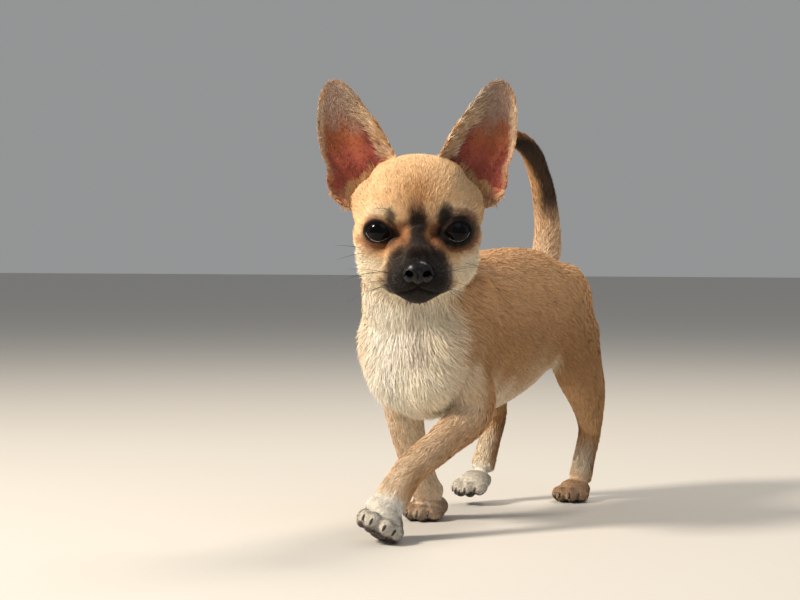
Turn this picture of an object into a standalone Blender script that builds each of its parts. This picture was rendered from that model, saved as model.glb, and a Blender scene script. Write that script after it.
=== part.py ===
"""A smooth-coated chihuahua puppy in mid-stride, life size, as a still museum model.

The body is built from rounded lofts and ellipsoids laid along the bones, melted into one
surface, and then parted with thin cuts into head, neck, torso, tail, legs and paws.
All sizes are in millimetres. The dog faces -Y, its left side is +X, and the floor is z = 0.
"""

import math

import bmesh
import bpy
import numpy as np
from mathutils import Matrix, Vector
from mathutils.bvhtree import BVHTree

MM = 0.001
GAP = 0.3
HALF_GAP = 0.5 * GAP

# The head is turned towards the watcher, so its own frame is right, up and forward.
HEAD_AT = np.array([12.8, -91.5, 162.5])
HEAD_YAW = math.radians(31.0)
HEAD_PITCH = math.radians(1.3)

# Skull and face, in the head's frame: (right, up, forward), origin between the eyes.
SKULL_AT = (0.5, 13.0, -8.0)
SKULL_RADII = (35.5, 30.0, 33.5)
TEMPLE_AT = (20.0, -1.0, 0.0)
TEMPLE_RADII = (14.5, 14.0, 17.0)
CHEEK_AT = (17.5, -12.0, 2.0)
CHEEK_RADII = (13.5, 16.5, 18.0)
JAW_AT = (9.0, -22.0, 8.0)
JAW_RADII = (13.0, 11.0, 20.0)
BROW_AT = (15.5, 9.5, 11.5)
BROW_RADII = (13.5, 9.0, 10.0)
CHEEKBONE_AT = (21.5, -9.0, 9.0)
CHEEKBONE_RADII = (10.5, 8.5, 10.0)
EAR_BASE_AT = (26.5, 19.0, -3.0)
EAR_BASE_RADII = (9.5, 10.5, 11.0)
SNOUT_SIDE_AT = (8.5, -11.5, 18.5)
SNOUT_SIDE_RADII = (8.8, 9.0, 14.0)
MUZZLE_AT = (0.0, -21.5, 25.0)
MUZZLE_RADII = (14.5, 12.5, 17.5)
FLEW_AT = (8.0, -25.5, 30.0)
FLEW_RADII = (8.5, 8.5, 11.0)
CHIN_AT = (0.0, -31.5, 25.5)
CHIN_RADII = (8.5, 6.5, 11.5)
BRIDGE = ((0.0, -1.0, 14.0), (0.0, -7.5, 25.0), (0.0, -14.5, 38.0))
BRIDGE_HALF_WIDE = (9.5, 7.5, 7.0)
BRIDGE_HALF_DEEP = (9.0, 7.5, 6.5)

# Eyes: large, set well apart and turned a little outwards.
EYE_AT = (19.3, 0.3, 13.8)
EYE_RADIUS = 8.6
EYE_OUTWARDS = math.radians(15.0)
LID_THICK = 1.2
EYE_OPENING_HALF_WIDE = 6.8
EYE_OPENING_HALF_HIGH = 5.4
EYE_OPENING_TILT = math.radians(8.0)

# The nose pad and its nostrils.
NOSE_AT = (0.0, -20.5, 41.0)
NOSE_RADII = (7.2, 5.4, 5.6)
NOSE_WING_AT = (4.6, -22.6, 41.0)
NOSE_WING_RADII = (3.4, 4.0, 5.0)
NOSE_TIP_AT = (0.0, -24.5, 41.5)
NOSE_TIP_RADII = (3.6, 3.8, 4.6)
NOSTRIL_AT = (4.9, -22.4, 46.0)
NOSTRIL_RADII = (1.9, 1.5, 3.2)

# The line of the closed mouth, from under the nose to the corner of the lips.
MOUTH_LINE = (
    (0.0, -31.0, 44.0),
    (1.5, -33.2, 43.0),
    (5.5, -34.8, 41.0),
    (10.5, -35.2, 36.5),
    (14.5, -32.6, 29.0),
    (17.0, -29.6, 20.0),
)
MOUTH_GROOVE_RADIUS = 0.75

# Ears: the outline is given along the ear's own axis, from its root to its tip.
EAR_ROOT = (26.0, 28.0, -3.0)
EAR_TIP = (45.3, 81.0, -7.0)
EAR_ALONG = (-14.0, -4.0, 6.0, 14.0, 25.0, 36.0, 45.0, 52.0, 57.0)
EAR_OUTER = (11.0, 19.5, 22.0, 19.3, 19.0, 16.6, 13.0, 9.3, 3.4)
EAR_INNER = (10.0, 16.0, 17.5, 17.2, 15.4, 12.4, 9.5, 7.0, 2.8)
EAR_CUP = (13.0, 12.5, 11.5, 10.0, 8.5, 6.0, 3.6, 1.6, 0.5)
EAR_THICK = (4.0, 3.4, 2.8, 2.4, 2.0, 1.8, 1.5, 1.3, 1.0)
EAR_TURN = math.radians(10.0)

# Neck, from between the shoulders up to the back of the skull.
NECK_LINE = ((0.0, -50.0, 114.0), (0.0, -67.0, 126.0), (3.5, -79.0, 141.0), (8.0, -85.0, 158.0))
NECK_HALF_WIDE = (31.0, 30.0, 26.5, 24.5)
NECK_HALF_DEEP = (30.0, 28.0, 25.0, 23.0)

# Torso stations: place along the body, back line, belly line and half width.
TORSO = (
    (97.0, 131.0, 112.0, 7.0),
    (90.0, 147.0, 99.0, 20.0),
    (76.0, 153.5, 86.0, 26.5),
    (56.0, 156.0, 78.0, 29.0),
    (36.0, 156.0, 70.0, 30.0),
    (16.0, 154.5, 63.5, 31.5),
    (-6.0, 152.0, 59.5, 33.0),
    (-28.0, 149.0, 59.0, 34.0),
    (-50.0, 146.5, 60.0, 34.5),
    (-68.0, 144.0, 63.0, 33.5),
    (-81.0, 135.0, 72.0, 29.0),
    (-90.0, 116.0, 91.0, 13.0),
)
SHOULDER_AT = (18.0, -46.0, 118.0)
SHOULDER_RADII = (15.5, 21.0, 27.0)
BREAST_AT = (9.0, -72.0, 92.0)
BREAST_RADII = (19.0, 17.5, 24.0)
HAUNCH_AT = (17.0, 76.0, 118.0)
HAUNCH_RADII = (14.5, 27.0, 29.0)

# Forelegs: shoulder point, elbow, wrist and knuckles; half widths and half depths there.
FORELEG_LEFT = ((20.0, -60.0, 98.0), (27.0, -54.0, 68.0), (20.0, -76.0, 50.5), (11.4, -97.0, 36.0),
                (5.4, -110.0, 18.0))
FORELEG_RIGHT = ((-19.0, -60.0, 98.0), (-21.0, -50.0, 68.0), (-21.0, -42.0, 45.0), (-19.0, -32.0, 23.0),
                 (-18.0, -24.0, 12.0))
FORELEG_HALF_WIDE = (13.5, 11.0, 9.2, 8.6, 9.8)
FORELEG_HALF_DEEP = (17.0, 13.0, 10.3, 9.2, 9.8)

# Hind legs: hip, stifle, gaskin, hock and metatarsus; half widths and half depths there.
HINDLEG_LEFT = ((17.0, 82.0, 118.0), (25.0, 76.0, 90.0), (25.5, 92.0, 65.0), (22.0, 103.0, 45.0),
                (19.0, 101.5, 26.0), (17.0, 98.5, 10.0))
HINDLEG_RIGHT = ((-17.0, 80.0, 118.0), (-25.0, 58.0, 88.0), (-26.5, 63.0, 68.0), (-26.5, 69.0, 53.0),
                 (-27.0, 62.0, 35.0), (-28.0, 55.0, 19.0))
HINDLEG_HALF_WIDE = (15.0, 13.5, 10.0, 7.2, 6.8, 7.8)
HINDLEG_HALF_DEEP = (28.0, 20.5, 15.0, 8.8, 7.6, 7.2)

# Paws: middle of the foot, heading from straight ahead, how far the toes are lifted, how far the
# outer side rolls down, its raised instep, and the cut that parts it from its leg.
PAWS = {
    "forepaw_left": {"at": (5.0, -113.4, 10.3), "heading": -26.0, "lift": 10.0, "roll": 26.0, "size": 1.1,
                     "instep_at": (-2.5, 1.5, 5.0), "instep_radii": (9.5, 10.0, 9.0),
                     "cut_at": (8.5, -105.0, 25.0), "cut_towards": (-0.25, -0.5, -0.83)},
    "forepaw_right": {"at": (-18.0, -25.0, 7.2), "heading": 4.0, "lift": 0.0, "roll": 0.0, "size": 1.0,
                      "cut_at": (-19.0, -28.0, 17.0), "cut_towards": (0.05, 0.15, -1.0)},
    "hindpaw_left": {"at": (16.5, 93.0, 7.0), "heading": -4.0, "lift": 0.0, "roll": 0.0, "size": 0.94,
                     "cut_at": (17.0, 98.0, 16.0), "cut_towards": (0.0, -0.1, -1.0)},
    "hindpaw_right": {"at": (-28.5, 48.0, 14.0), "heading": 4.0, "lift": -8.0, "roll": 0.0, "size": 0.94,
                      "cut_at": (-28.0, 57.0, 24.0), "cut_towards": (0.0, -0.2, -1.0)},
}
PAW_RADII = (10.2, 11.5, 7.4)
TOES = ((-8.0, -7.0, 4.3), (-3.4, -11.5, 4.7), (3.4, -11.5, 4.7), (8.0, -7.0, 4.3))
TOE_LENGTH = 7.2
TOE_DROP = 2.2
HEEL_PAD_AT = (0.0, 2.5, -5.2)
HEEL_PAD_RADII = (6.6, 6.0, 3.6)
CLAW_LENGTH = 5.2
CLAW_ROOT_RADIUS = 1.25
CLAW_TIP_RADIUS = 0.45

# Tail: carried high and curled forward over the back.
TAIL_LINE = ((0.0, 80.0, 140.0), (0.0, 87.0, 155.0), (0.0, 87.0, 174.0), (0.0, 80.0, 195.0),
             (-0.5, 68.0, 212.0), (-2.0, 53.0, 219.5), (-4.0, 40.0, 219.0))
TAIL_RADIUS = (10.0, 8.6, 7.4, 6.5, 5.9, 5.2, 4.2)

# Melting: the voxel and the triangles kept, for the body, the head and the nose.
BODY_VOXEL = 1.4
BODY_SMOOTHING = 10
BODY_TRIANGLES = 5400
HEAD_VOXEL = 0.9
HEAD_SMOOTHING = 22
HEAD_TRIANGLES = 2800
NOSE_VOXEL = 0.5
NOSE_TRIANGLES = 360
FAR = 1000.0

MATERIALS = {
    "fawn_coat": ((0.60, 0.36, 0.18), 0.75),
    "cream_coat": ((0.85, 0.78, 0.65), 0.78),
    "ear_leather": ((0.62, 0.34, 0.24), 0.65),
    "nose_leather": ((0.02, 0.02, 0.022), 0.3),
    "eye_glass": ((0.015, 0.01, 0.008), 0.05),
}


def clear_scene():
    """Start from an empty file."""
    for obj in list(bpy.data.objects):
        bpy.data.objects.remove(obj, do_unlink=True)


def material(name):
    """A plain Principled finish in one of the named colours."""
    found = bpy.data.materials.get(name)
    if found:
        return found
    colour, roughness = MATERIALS[name]
    made = bpy.data.materials.new(name)
    made.use_nodes = True
    shader = made.node_tree.nodes["Principled BSDF"]
    shader.inputs["Base Color"].default_value = (*colour, 1.0)
    shader.inputs["Roughness"].default_value = roughness
    shader.inputs["Metallic"].default_value = 0.0
    return made


def unit(vector):
    """The vector with length one."""
    vector = np.asarray(vector, float)
    return vector / np.linalg.norm(vector)


def head_axes():
    """The head's right, up and forward directions in the world."""
    forward = np.array([
        math.sin(HEAD_YAW) * math.cos(HEAD_PITCH),
        -math.cos(HEAD_YAW) * math.cos(HEAD_PITCH),
        math.sin(HEAD_PITCH),
    ])
    right = np.array([math.cos(HEAD_YAW), math.sin(HEAD_YAW), 0.0])
    up = np.cross(right, forward) * -1.0
    return np.stack([right, unit(up), forward])


def on_head(points):
    """Points given as right, up and forward, placed in the world."""
    return HEAD_AT + np.asarray(points, float) @ head_axes()


def mirrored(point, side):
    """The point with its first value on the given side: -1 or 1."""
    return (side * point[0], *point[1:])


def through(values, t):
    """Catmull-Rom curve through evenly spaced values, read at t from 0 to 1."""
    values = np.asarray(values, float)
    if values.ndim == 1:
        return through(values[:, None], t)[:, 0]
    padded = np.concatenate([[2 * values[0] - values[1]], values, [2 * values[-1] - values[-2]]])
    spot = np.clip(np.asarray(t) * (len(values) - 1), 0, len(values) - 1 - 1e-9)
    first = spot.astype(int)
    u = (spot - first)[:, None]
    a, b, c, d = (padded[first + k] for k in range(4))
    return b + 0.5 * u * (c - a + u * (2 * a - 5 * b + 4 * c - d + u * (3 * (b - c) + d - a)))


def mesh_of(name, points, faces):
    """A mesh in metres from points in millimetres."""
    mesh = bpy.data.meshes.new(name)
    mesh.from_pydata((np.asarray(points) * MM).tolist(), [], faces)
    mesh.update()
    return mesh


def tube_mesh(name, rings, first_pole, last_pole):
    """Rings of points joined into a closed surface with a pole at each end."""
    count, around = rings.shape[:2]
    points = np.concatenate([[first_pole], rings.reshape(-1, 3), [last_pole]])
    faces = []
    for k in range(around):
        after = (k + 1) % around
        faces.append((0, 1 + after, 1 + k))
        for row in range(count - 1):
            low = 1 + row * around
            faces.append((low + k, low + after, low + around + after, low + around + k))
        low = 1 + (count - 1) * around
        faces.append((low + k, low + after, len(points) - 1))
    mesh = mesh_of(name, points, faces)
    bm = bmesh.new()
    bm.from_mesh(mesh)
    bmesh.ops.recalc_face_normals(bm, faces=bm.faces)
    bm.to_mesh(mesh)
    bm.free()
    return mesh


def loft(name, line, half_wide, half_deep, side, round_off=0.12, steps=28, around=28):
    """A rounded limb along a smooth line, with half_wide measured along side."""
    t = 0.5 - 0.5 * np.cos(np.linspace(0, math.pi, steps + 1))
    centre = through(line, t)
    along = np.gradient(centre, axis=0)
    along /= np.linalg.norm(along, axis=1)[:, None]
    across = unit(side) - (along @ unit(side))[:, None] * along
    across /= np.linalg.norm(across, axis=1)[:, None]
    deep = np.cross(along, across)
    past = np.clip((np.abs(2 * t - 1) - (1 - round_off)) / round_off, 0, 1)
    taper = np.sqrt(1 - past ** 2)
    angle = np.linspace(0, 2 * math.pi, around, endpoint=False)
    wide = (through(half_wide, t) * taper)[:, None, None]
    depth = (through(half_deep, t) * taper)[:, None, None]
    rings = (centre[:, None] + np.cos(angle)[None, :, None] * wide * across[:, None]
             + np.sin(angle)[None, :, None] * depth * deep[:, None])
    return tube_mesh(name, rings[1:-1], centre[0], centre[-1])


def ellipsoid(name, centre, radii, axes=np.eye(3), segments=28, rings=16):
    """A closed ellipsoid with its radii along the given axes."""
    height = np.linspace(0, math.pi, rings + 1)[1:-1]
    angle = np.linspace(0, 2 * math.pi, segments, endpoint=False)
    local = np.stack([
        np.sin(height)[:, None] * np.cos(angle)[None],
        np.sin(height)[:, None] * np.sin(angle)[None],
        np.repeat(np.cos(height)[:, None], segments, axis=1),
    ], axis=-1) * np.asarray(radii)
    rows = np.asarray(centre) + local @ axes
    pole = np.array([0.0, 0.0, radii[2]]) @ axes
    return tube_mesh(name, rows, np.asarray(centre) + pole, np.asarray(centre) - pole)


def head_lump(name, centre, radii, grow=0.0):
    """An ellipsoid in the head's own frame."""
    return ellipsoid(name, on_head(centre), np.asarray(radii) + grow, head_axes())


def both_sides(name, centre, radii, grow=0.0):
    """A pair of head lumps, one each side of the middle."""
    return [head_lump(name, mirrored(centre, side), radii, grow) for side in (-1, 1)]


def object_of(name, mesh):
    """The mesh as an object in the scene."""
    obj = bpy.data.objects.new(name, mesh)
    bpy.context.scene.collection.objects.link(obj)
    return obj


def remove(obj):
    """Take a helper object out of the file."""
    bpy.data.objects.remove(obj, do_unlink=True)


def settle(obj):
    """Replace the object's mesh by what its modifiers make of it."""
    bpy.context.view_layer.update()
    graph = bpy.context.evaluated_depsgraph_get()
    made = bpy.data.meshes.new_from_object(obj.evaluated_get(graph))
    obj.modifiers.clear()
    obj.data = made
    return obj


def joined(name, meshes):
    """Several meshes copied into one object."""
    bm = bmesh.new()
    for mesh in meshes:
        bm.from_mesh(mesh)
    mesh = bpy.data.meshes.new(name)
    bm.to_mesh(mesh)
    bm.free()
    return object_of(name, mesh)


def melt(name, meshes, voxel, smoothing, triangles):
    """Melt closed pieces into one skin, smooth it and thin it."""
    obj = joined(name, meshes)
    remesh = obj.modifiers.new("melt", "REMESH")
    remesh.mode = "VOXEL"
    remesh.voxel_size = voxel * MM
    smooth = obj.modifiers.new("smooth", "SMOOTH")
    smooth.factor = 0.5
    smooth.iterations = smoothing
    settle(obj)
    thin = obj.modifiers.new("thin", "DECIMATE")
    thin.ratio = min(1.0, triangles / (2.0 * len(obj.data.polygons)))
    settle(obj)
    return largest(obj)


def largest(obj):
    """Keep only the largest closed surface of the object, as triangles."""
    bm = bmesh.new()
    bm.from_mesh(obj.data)
    bmesh.ops.triangulate(bm, faces=bm.faces)
    left = set(bm.faces)
    groups = []
    while left:
        group = [left.pop()]
        for face in group:
            for edge in face.edges:
                for near in edge.link_faces:
                    if near in left:
                        left.remove(near)
                        group.append(near)
        groups.append(group)
    groups.sort(key=lambda group: sum(face.calc_area() for face in group))
    dropped = [face for group in groups[:-1] for face in group]
    bmesh.ops.delete(bm, geom=dropped, context="FACES")
    bm.to_mesh(obj.data)
    bm.free()
    return obj


def combine(obj, other, operation, solver="EXACT"):
    """One Boolean of the object with another object."""
    modifier = obj.modifiers.new(operation.lower(), "BOOLEAN")
    modifier.operation = operation
    modifier.solver = solver
    modifier.object = other
    settle(obj)
    return obj


def copied(obj, name):
    """A second object with its own copy of the mesh."""
    return object_of(name, obj.data.copy())


def block(name, planes, inset):
    """A convex block: a large cube kept on the inner side of each plane, moved in by inset."""
    bm = bmesh.new()
    bmesh.ops.create_cube(bm, size=FAR * MM)
    for point, normal in planes:
        normal = unit(normal)
        at = Vector((np.asarray(point, float) + normal * inset) * MM)
        cut = bmesh.ops.bisect_plane(
            bm, geom=bm.verts[:] + bm.edges[:] + bm.faces[:], plane_co=at, plane_no=Vector(-normal),
            clear_outer=True, dist=1e-7)
        edges = [item for item in cut["geom_cut"] if isinstance(item, bmesh.types.BMEdge)]
        bmesh.ops.contextual_create(bm, geom=edges)
    bmesh.ops.recalc_face_normals(bm, faces=bm.faces)
    mesh = bpy.data.meshes.new(name)
    bm.to_mesh(mesh)
    bm.free()
    return object_of(name, mesh)


def part_off(body, name, planes):
    """Cut the piece inside the planes from the body, with a thin gap left between the two."""
    piece = copied(body, name)
    inner = block("inner_block", planes, HALF_GAP)
    combine(piece, inner, "INTERSECT")
    remove(inner)
    outer = block("outer_block", planes, -HALF_GAP)
    combine(body, outer, "DIFFERENCE")
    remove(outer)
    largest(body)
    return largest(piece)


def paw_axes(paw):
    """The paw's side, length and height directions in the world."""
    turn = Matrix.Rotation(math.radians(-paw["heading"]), 3, "Z")
    lift = Matrix.Rotation(math.radians(-paw["lift"]), 3, "X")
    roll = Matrix.Rotation(math.radians(paw["roll"]), 3, "Y")
    return np.array((turn @ lift @ roll).transposed())


def on_paw(paw, point):
    """A point given across, along and above the paw's middle, in the world."""
    return np.asarray(paw["at"]) + np.asarray(point) * paw["size"] @ paw_axes(paw)


def paw_meshes(name, paw):
    """The foot's body, four toes and the heel pad."""
    axes, size = paw_axes(paw), paw["size"]
    meshes = [ellipsoid(name, on_paw(paw, (0, 0, 0)), np.array(PAW_RADII) * size, axes)]
    for across, along, half_wide in TOES:
        radii = np.array((half_wide, TOE_LENGTH, half_wide * 1.15)) * size
        meshes.append(ellipsoid(name, on_paw(paw, (across, along, -TOE_DROP)), radii, axes))
    radii = np.array(HEEL_PAD_RADII) * size
    meshes.append(ellipsoid(name, on_paw(paw, HEEL_PAD_AT), radii, axes))
    if "instep_at" in paw:
        radii = np.array(paw["instep_radii"]) * size
        meshes.append(ellipsoid(name, on_paw(paw, paw["instep_at"]), radii, axes))
    return meshes


def claw_meshes(name, paw):
    """Four short claws, rooted inside the toes and curving down."""
    meshes = []
    for across, along, half_wide in TOES:
        front = along - TOE_LENGTH
        line = [
            on_paw(paw, (across, front + 3.6, -TOE_DROP + 0.2 * half_wide)),
            on_paw(paw, (across, front + 1.2, -TOE_DROP + 0.1 * half_wide)),
            on_paw(paw, (across, front + 3.6 - CLAW_LENGTH, -TOE_DROP - 0.4 * half_wide)),
        ]
        radii = (CLAW_ROOT_RADIUS, CLAW_ROOT_RADIUS, CLAW_TIP_RADIUS)
        meshes.append(loft(name, line, radii, radii, paw_axes(paw)[0], 0.3, 5, 6))
    return meshes


def torso_meshes():
    """Rib cage and loin, with the shoulder, breast and haunch muscles."""
    stations = np.array(TORSO)
    place, top, bottom, half_wide = stations.T
    line = np.stack([place * 0.0, place, 0.5 * (top + bottom)], axis=1)
    meshes = [loft("torso", line, half_wide, 0.5 * (top - bottom), (1, 0, 0), 0.06, 44, 40)]
    for side in (-1, 1):
        meshes.append(ellipsoid("shoulder", mirrored(SHOULDER_AT, side), SHOULDER_RADII))
        meshes.append(ellipsoid("breast", mirrored(BREAST_AT, side), BREAST_RADII))
        meshes.append(ellipsoid("haunch", mirrored(HAUNCH_AT, side), HAUNCH_RADII))
    return meshes


def neck_mesh():
    """The neck, thick and rounded, turning with the head."""
    return loft("neck", NECK_LINE, NECK_HALF_WIDE, NECK_HALF_DEEP, head_axes()[0])


def leg_meshes():
    """The four limbs down to the wrist and the hock's foot."""
    across = (1, 0, 0)
    meshes = []
    for line in (FORELEG_LEFT, FORELEG_RIGHT):
        meshes.append(loft("foreleg", line, FORELEG_HALF_WIDE, FORELEG_HALF_DEEP, across))
    for line in (HINDLEG_LEFT, HINDLEG_RIGHT):
        meshes.append(loft("hindleg", line, HINDLEG_HALF_WIDE, HINDLEG_HALF_DEEP, across))
    return meshes


def tail_mesh():
    """The tail, round and tapering to a blunt tip."""
    return loft("tail", TAIL_LINE, TAIL_RADIUS, TAIL_RADIUS, (1, 0, 0), 0.08)


def skull_meshes():
    """The domed skull, cheeks, jaw, brows and muzzle."""
    meshes = [
        head_lump("skull", SKULL_AT, SKULL_RADII),
        head_lump("muzzle", MUZZLE_AT, MUZZLE_RADII),
        head_lump("chin", CHIN_AT, CHIN_RADII),
        loft("bridge", on_head(BRIDGE), BRIDGE_HALF_WIDE, BRIDGE_HALF_DEEP, head_axes()[0]),
    ]
    meshes += both_sides("temple", TEMPLE_AT, TEMPLE_RADII)
    meshes += both_sides("cheek", CHEEK_AT, CHEEK_RADII)
    meshes += both_sides("jaw", JAW_AT, JAW_RADII)
    meshes += both_sides("brow", BROW_AT, BROW_RADII)
    meshes += both_sides("cheekbone", CHEEKBONE_AT, CHEEKBONE_RADII)
    meshes += both_sides("flew", FLEW_AT, FLEW_RADII)
    meshes += both_sides("ear_base", EAR_BASE_AT, EAR_BASE_RADII)
    meshes += both_sides("snout_side", SNOUT_SIDE_AT, SNOUT_SIDE_RADII)
    lid_radius = EYE_RADIUS + GAP + LID_THICK
    meshes += both_sides("lids", EYE_AT, (lid_radius,) * 3)
    return meshes


def nose_meshes(grow):
    """The nose pad: its body, two wings and the lower tip."""
    meshes = [
        head_lump("nose_pad", NOSE_AT, NOSE_RADII, grow),
        head_lump("nose_tip", NOSE_TIP_AT, NOSE_TIP_RADII, grow),
    ]
    return meshes + both_sides("nose_wing", NOSE_WING_AT, NOSE_WING_RADII, grow)


def eye_axes(side):
    """The eye's sideways, upward and outward directions in the world."""
    right, up, forward = head_axes()
    turn = side * EYE_OUTWARDS
    look = forward * math.cos(turn) + right * math.sin(turn)
    level = right * math.cos(turn) - forward * math.sin(turn)
    tilt = side * EYE_OPENING_TILT
    across = level * math.cos(tilt) + up * math.sin(tilt)
    return np.stack([across, up * math.cos(tilt) - level * math.sin(tilt), look])


def eye_ball(name, side, radius):
    """A ball at the eye's place."""
    centre = on_head(mirrored(EYE_AT, side))
    return ellipsoid(name, centre, (radius,) * 3, eye_axes(side), 20, 12)


def eye_opening(side):
    """An oval prism from inside the eye outwards, which opens the lids."""
    centre = on_head(mirrored(EYE_AT, side))
    axes = eye_axes(side)
    line = [centre + axes[2] * reach for reach in (2.0, 8.0, 14.0)]
    wide = (0.8 * EYE_OPENING_HALF_WIDE, EYE_OPENING_HALF_WIDE, 1.25 * EYE_OPENING_HALF_WIDE)
    high = (0.8 * EYE_OPENING_HALF_HIGH, EYE_OPENING_HALF_HIGH, 1.25 * EYE_OPENING_HALF_HIGH)
    return loft("eye_opening", line, wide, high, axes[0], 0.05, 8, 22)


def ear_mesh(side):
    """A cupped ear: crescent sections set along the ear's axis, closed at root and tip."""
    root, tip = np.array(EAR_ROOT), np.array(EAR_TIP)
    axis = unit(tip - root)
    outward = unit(np.cross(np.cross(axis, (1.0, 0.0, 0.0)), axis))
    front = unit(np.cross(outward, axis))
    front = front if front[2] > 0 else -front
    outward, front = (outward * math.cos(EAR_TURN) - front * math.sin(EAR_TURN),
                      front * math.cos(EAR_TURN) + outward * math.sin(EAR_TURN))
    t = np.linspace(0, 1, 17)
    along, outer, inner, cup, thick = (
        through(values, t) for values in (EAR_ALONG, EAR_OUTER, EAR_INNER, EAR_CUP, EAR_THICK))
    turn = np.linspace(-1, 1, 13)
    reach = np.where(turn[None] > 0, outer[:, None], inner[:, None]) * np.sin(turn * math.pi / 2)
    bowl = np.cos(turn * math.pi / 2) ** 0.8
    wall = thick[:, None] * (0.35 + 0.65 * bowl[None])
    face = -cup[:, None] * bowl[None]
    hollow = np.stack([reach, face], axis=-1)
    grown = 1.0 + 0.4 * wall / np.maximum(outer + inner, 4.0)[:, None]
    back = np.stack([reach * grown, face - wall], axis=-1)[:, ::-1]
    profile = np.concatenate([hollow, back], axis=1)
    place = (root + along[:, None, None] * axis + profile[..., :1] * outward + profile[..., 1:] * front)
    place = place * np.array([side, 1.0, 1.0])
    rings = on_head(place)
    return tube_mesh("ear", rings, rings[0].mean(axis=0), rings[-1].mean(axis=0))


def mouth_grooves(head):
    """Two thin tubes laid on the lips, one each side, that cut the line of the mouth."""
    surface = BVHTree.FromObject(head, bpy.context.evaluated_depsgraph_get())
    right, _, forward = head_axes()
    tubes = []
    for side in (-1, 1):
        guide = on_head([mirrored(point, side) for point in through(MOUTH_LINE, np.linspace(0, 1, 15))])
        laid = [np.array(surface.find_nearest(Vector(point * MM))[0]) / MM for point in guide]
        radii = (MOUTH_GROOVE_RADIUS,) * len(laid)
        side_on = -side * right - forward
        tubes.append(loft("mouth_line", laid, radii, radii, side_on, 0.06, 20, 5))
    return tubes


def build_head(neck):
    """Head, eyes, ears and nose."""
    head = melt("head", skull_meshes() + [neck], HEAD_VOXEL, HEAD_SMOOTHING, HEAD_TRIANGLES)
    around = copied(head, "head_grown")
    grown = around.modifiers.new("grow", "DISPLACE")
    grown.strength = GAP * MM
    grown.mid_level = 0.0
    settle(around)

    # The groove's tube can touch itself where it turns under the nose, which EXACT refuses.
    for groove in mouth_grooves(head):
        cutter = object_of("groove", groove)
        combine(head, cutter, "DIFFERENCE", "MANIFOLD")
        remove(cutter)

    for side, name in ((1, "ear_left"), (-1, "ear_right")):
        ear = object_of(name, ear_mesh(side))
        combine(ear, around, "DIFFERENCE")
        largest(ear)
    remove(around)

    for side, name in ((1, "eye_left"), (-1, "eye_right")):
        object_of(name, eye_ball(name, side, EYE_RADIUS))
        for mesh in (eye_ball("socket", side, EYE_RADIUS + GAP), eye_opening(side)):
            cutter = object_of("socket", mesh)
            combine(head, cutter, "DIFFERENCE")
            remove(cutter)

    pocket = melt("nose_pocket", nose_meshes(GAP), NOSE_VOXEL, 4, NOSE_TRIANGLES)
    combine(head, pocket, "DIFFERENCE")
    remove(pocket)
    nose = melt("nose", nose_meshes(0.0), NOSE_VOXEL, 4, NOSE_TRIANGLES)
    for side in (-1, 1):
        hole = ellipsoid("nostril", on_head(mirrored(NOSTRIL_AT, side)), NOSTRIL_RADII, head_axes(), 12, 8)
        cutter = object_of("nostril", hole)
        combine(nose, cutter, "DIFFERENCE")
        remove(cutter)
    largest(nose)

    inner = block("inner_block", [head_plane()], HALF_GAP)
    combine(head, inner, "INTERSECT")
    remove(inner)
    return largest(head)


def head_plane():
    """The cut between head and neck: from the nape down and forward to the throat."""
    nape, throat = np.array((0.0, -2.0, -34.0)), np.array((0.0, -38.0, 4.0))
    middle = 0.5 * (nape + throat)
    normal = (0.0, throat[2] - nape[2], nape[1] - throat[1])
    return on_head(middle), unit(normal) @ head_axes()


def build_body():
    """Torso, neck, tail, legs and paws from one melted skin."""
    neck = neck_mesh()
    meshes = torso_meshes() + [neck, tail_mesh()] + leg_meshes()
    for name, paw in PAWS.items():
        meshes += paw_meshes(name, paw)
    meshes += skull_meshes()[:1]
    body = melt("torso", meshes, BODY_VOXEL, BODY_SMOOTHING, BODY_TRIANGLES)

    floor = [((0, 0, 0), (0, 0, 1))]
    ground = block("ground_block", floor, 0.0)
    combine(body, ground, "INTERSECT")
    remove(ground)

    cut_foreleg(body, "foreleg_left", 1, [((0, -37, 0), (0, -1, 0))])
    cut_foreleg(body, "foreleg_right", -1, [((-20, -36, 72), (0, -1, -0.5))])
    cut_hindleg(body, "hindleg_left", 1, ((0, 44, 118), (0, 0.97, -0.1)))
    cut_hindleg(body, "hindleg_right", -1, ((0, 42, 118), (0, 0.90, -0.44)))
    part_off(body, "tail", [((0, 85, 158), (0, 0.12, 0.99)), ((0, 20, 0), (0, 1, 0))])
    front = part_off(body, "neck", [((0, -66, 127), (0, -0.655, 0.757)), ((0, -30, 0), (0, -1, 0))])
    beyond = block("beyond_block", [head_plane()], -HALF_GAP)
    combine(front, beyond, "DIFFERENCE")
    remove(beyond)
    largest(front)
    return neck


def cut_paw(leg, name):
    """Part a paw from its leg and root its claws in the toes."""
    place = PAWS[name]
    paw = part_off(leg, name, [(place["cut_at"], place["cut_towards"])])
    claws = bpy.data.collections.new(name + "_claws")
    bpy.context.scene.collection.children.link(claws)
    for mesh in claw_meshes("claw", place):
        claw = bpy.data.objects.new("claw", mesh)
        claws.objects.link(claw)
    modifier = paw.modifiers.new("claws", "BOOLEAN")
    modifier.operation = "UNION"
    modifier.solver = "EXACT"
    modifier.operand_type = "COLLECTION"
    modifier.collection = claws
    settle(paw)
    for claw in list(claws.objects):
        remove(claw)
    bpy.data.collections.remove(claws)
    return largest(paw)


def cut_foreleg(body, name, side, limits):
    """Part a foreleg from the shoulder, then its paw at the wrist."""
    shoulder = ((side * 23, -54, 84), (side * 0.60, 0.0, -0.80))
    armpit = ((side * 13, -40, 70), (side * 0.965, -0.025, -0.261))
    leg = part_off(body, name, [shoulder, armpit] + limits)
    cut_paw(leg, name.replace("leg", "paw"))


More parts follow.
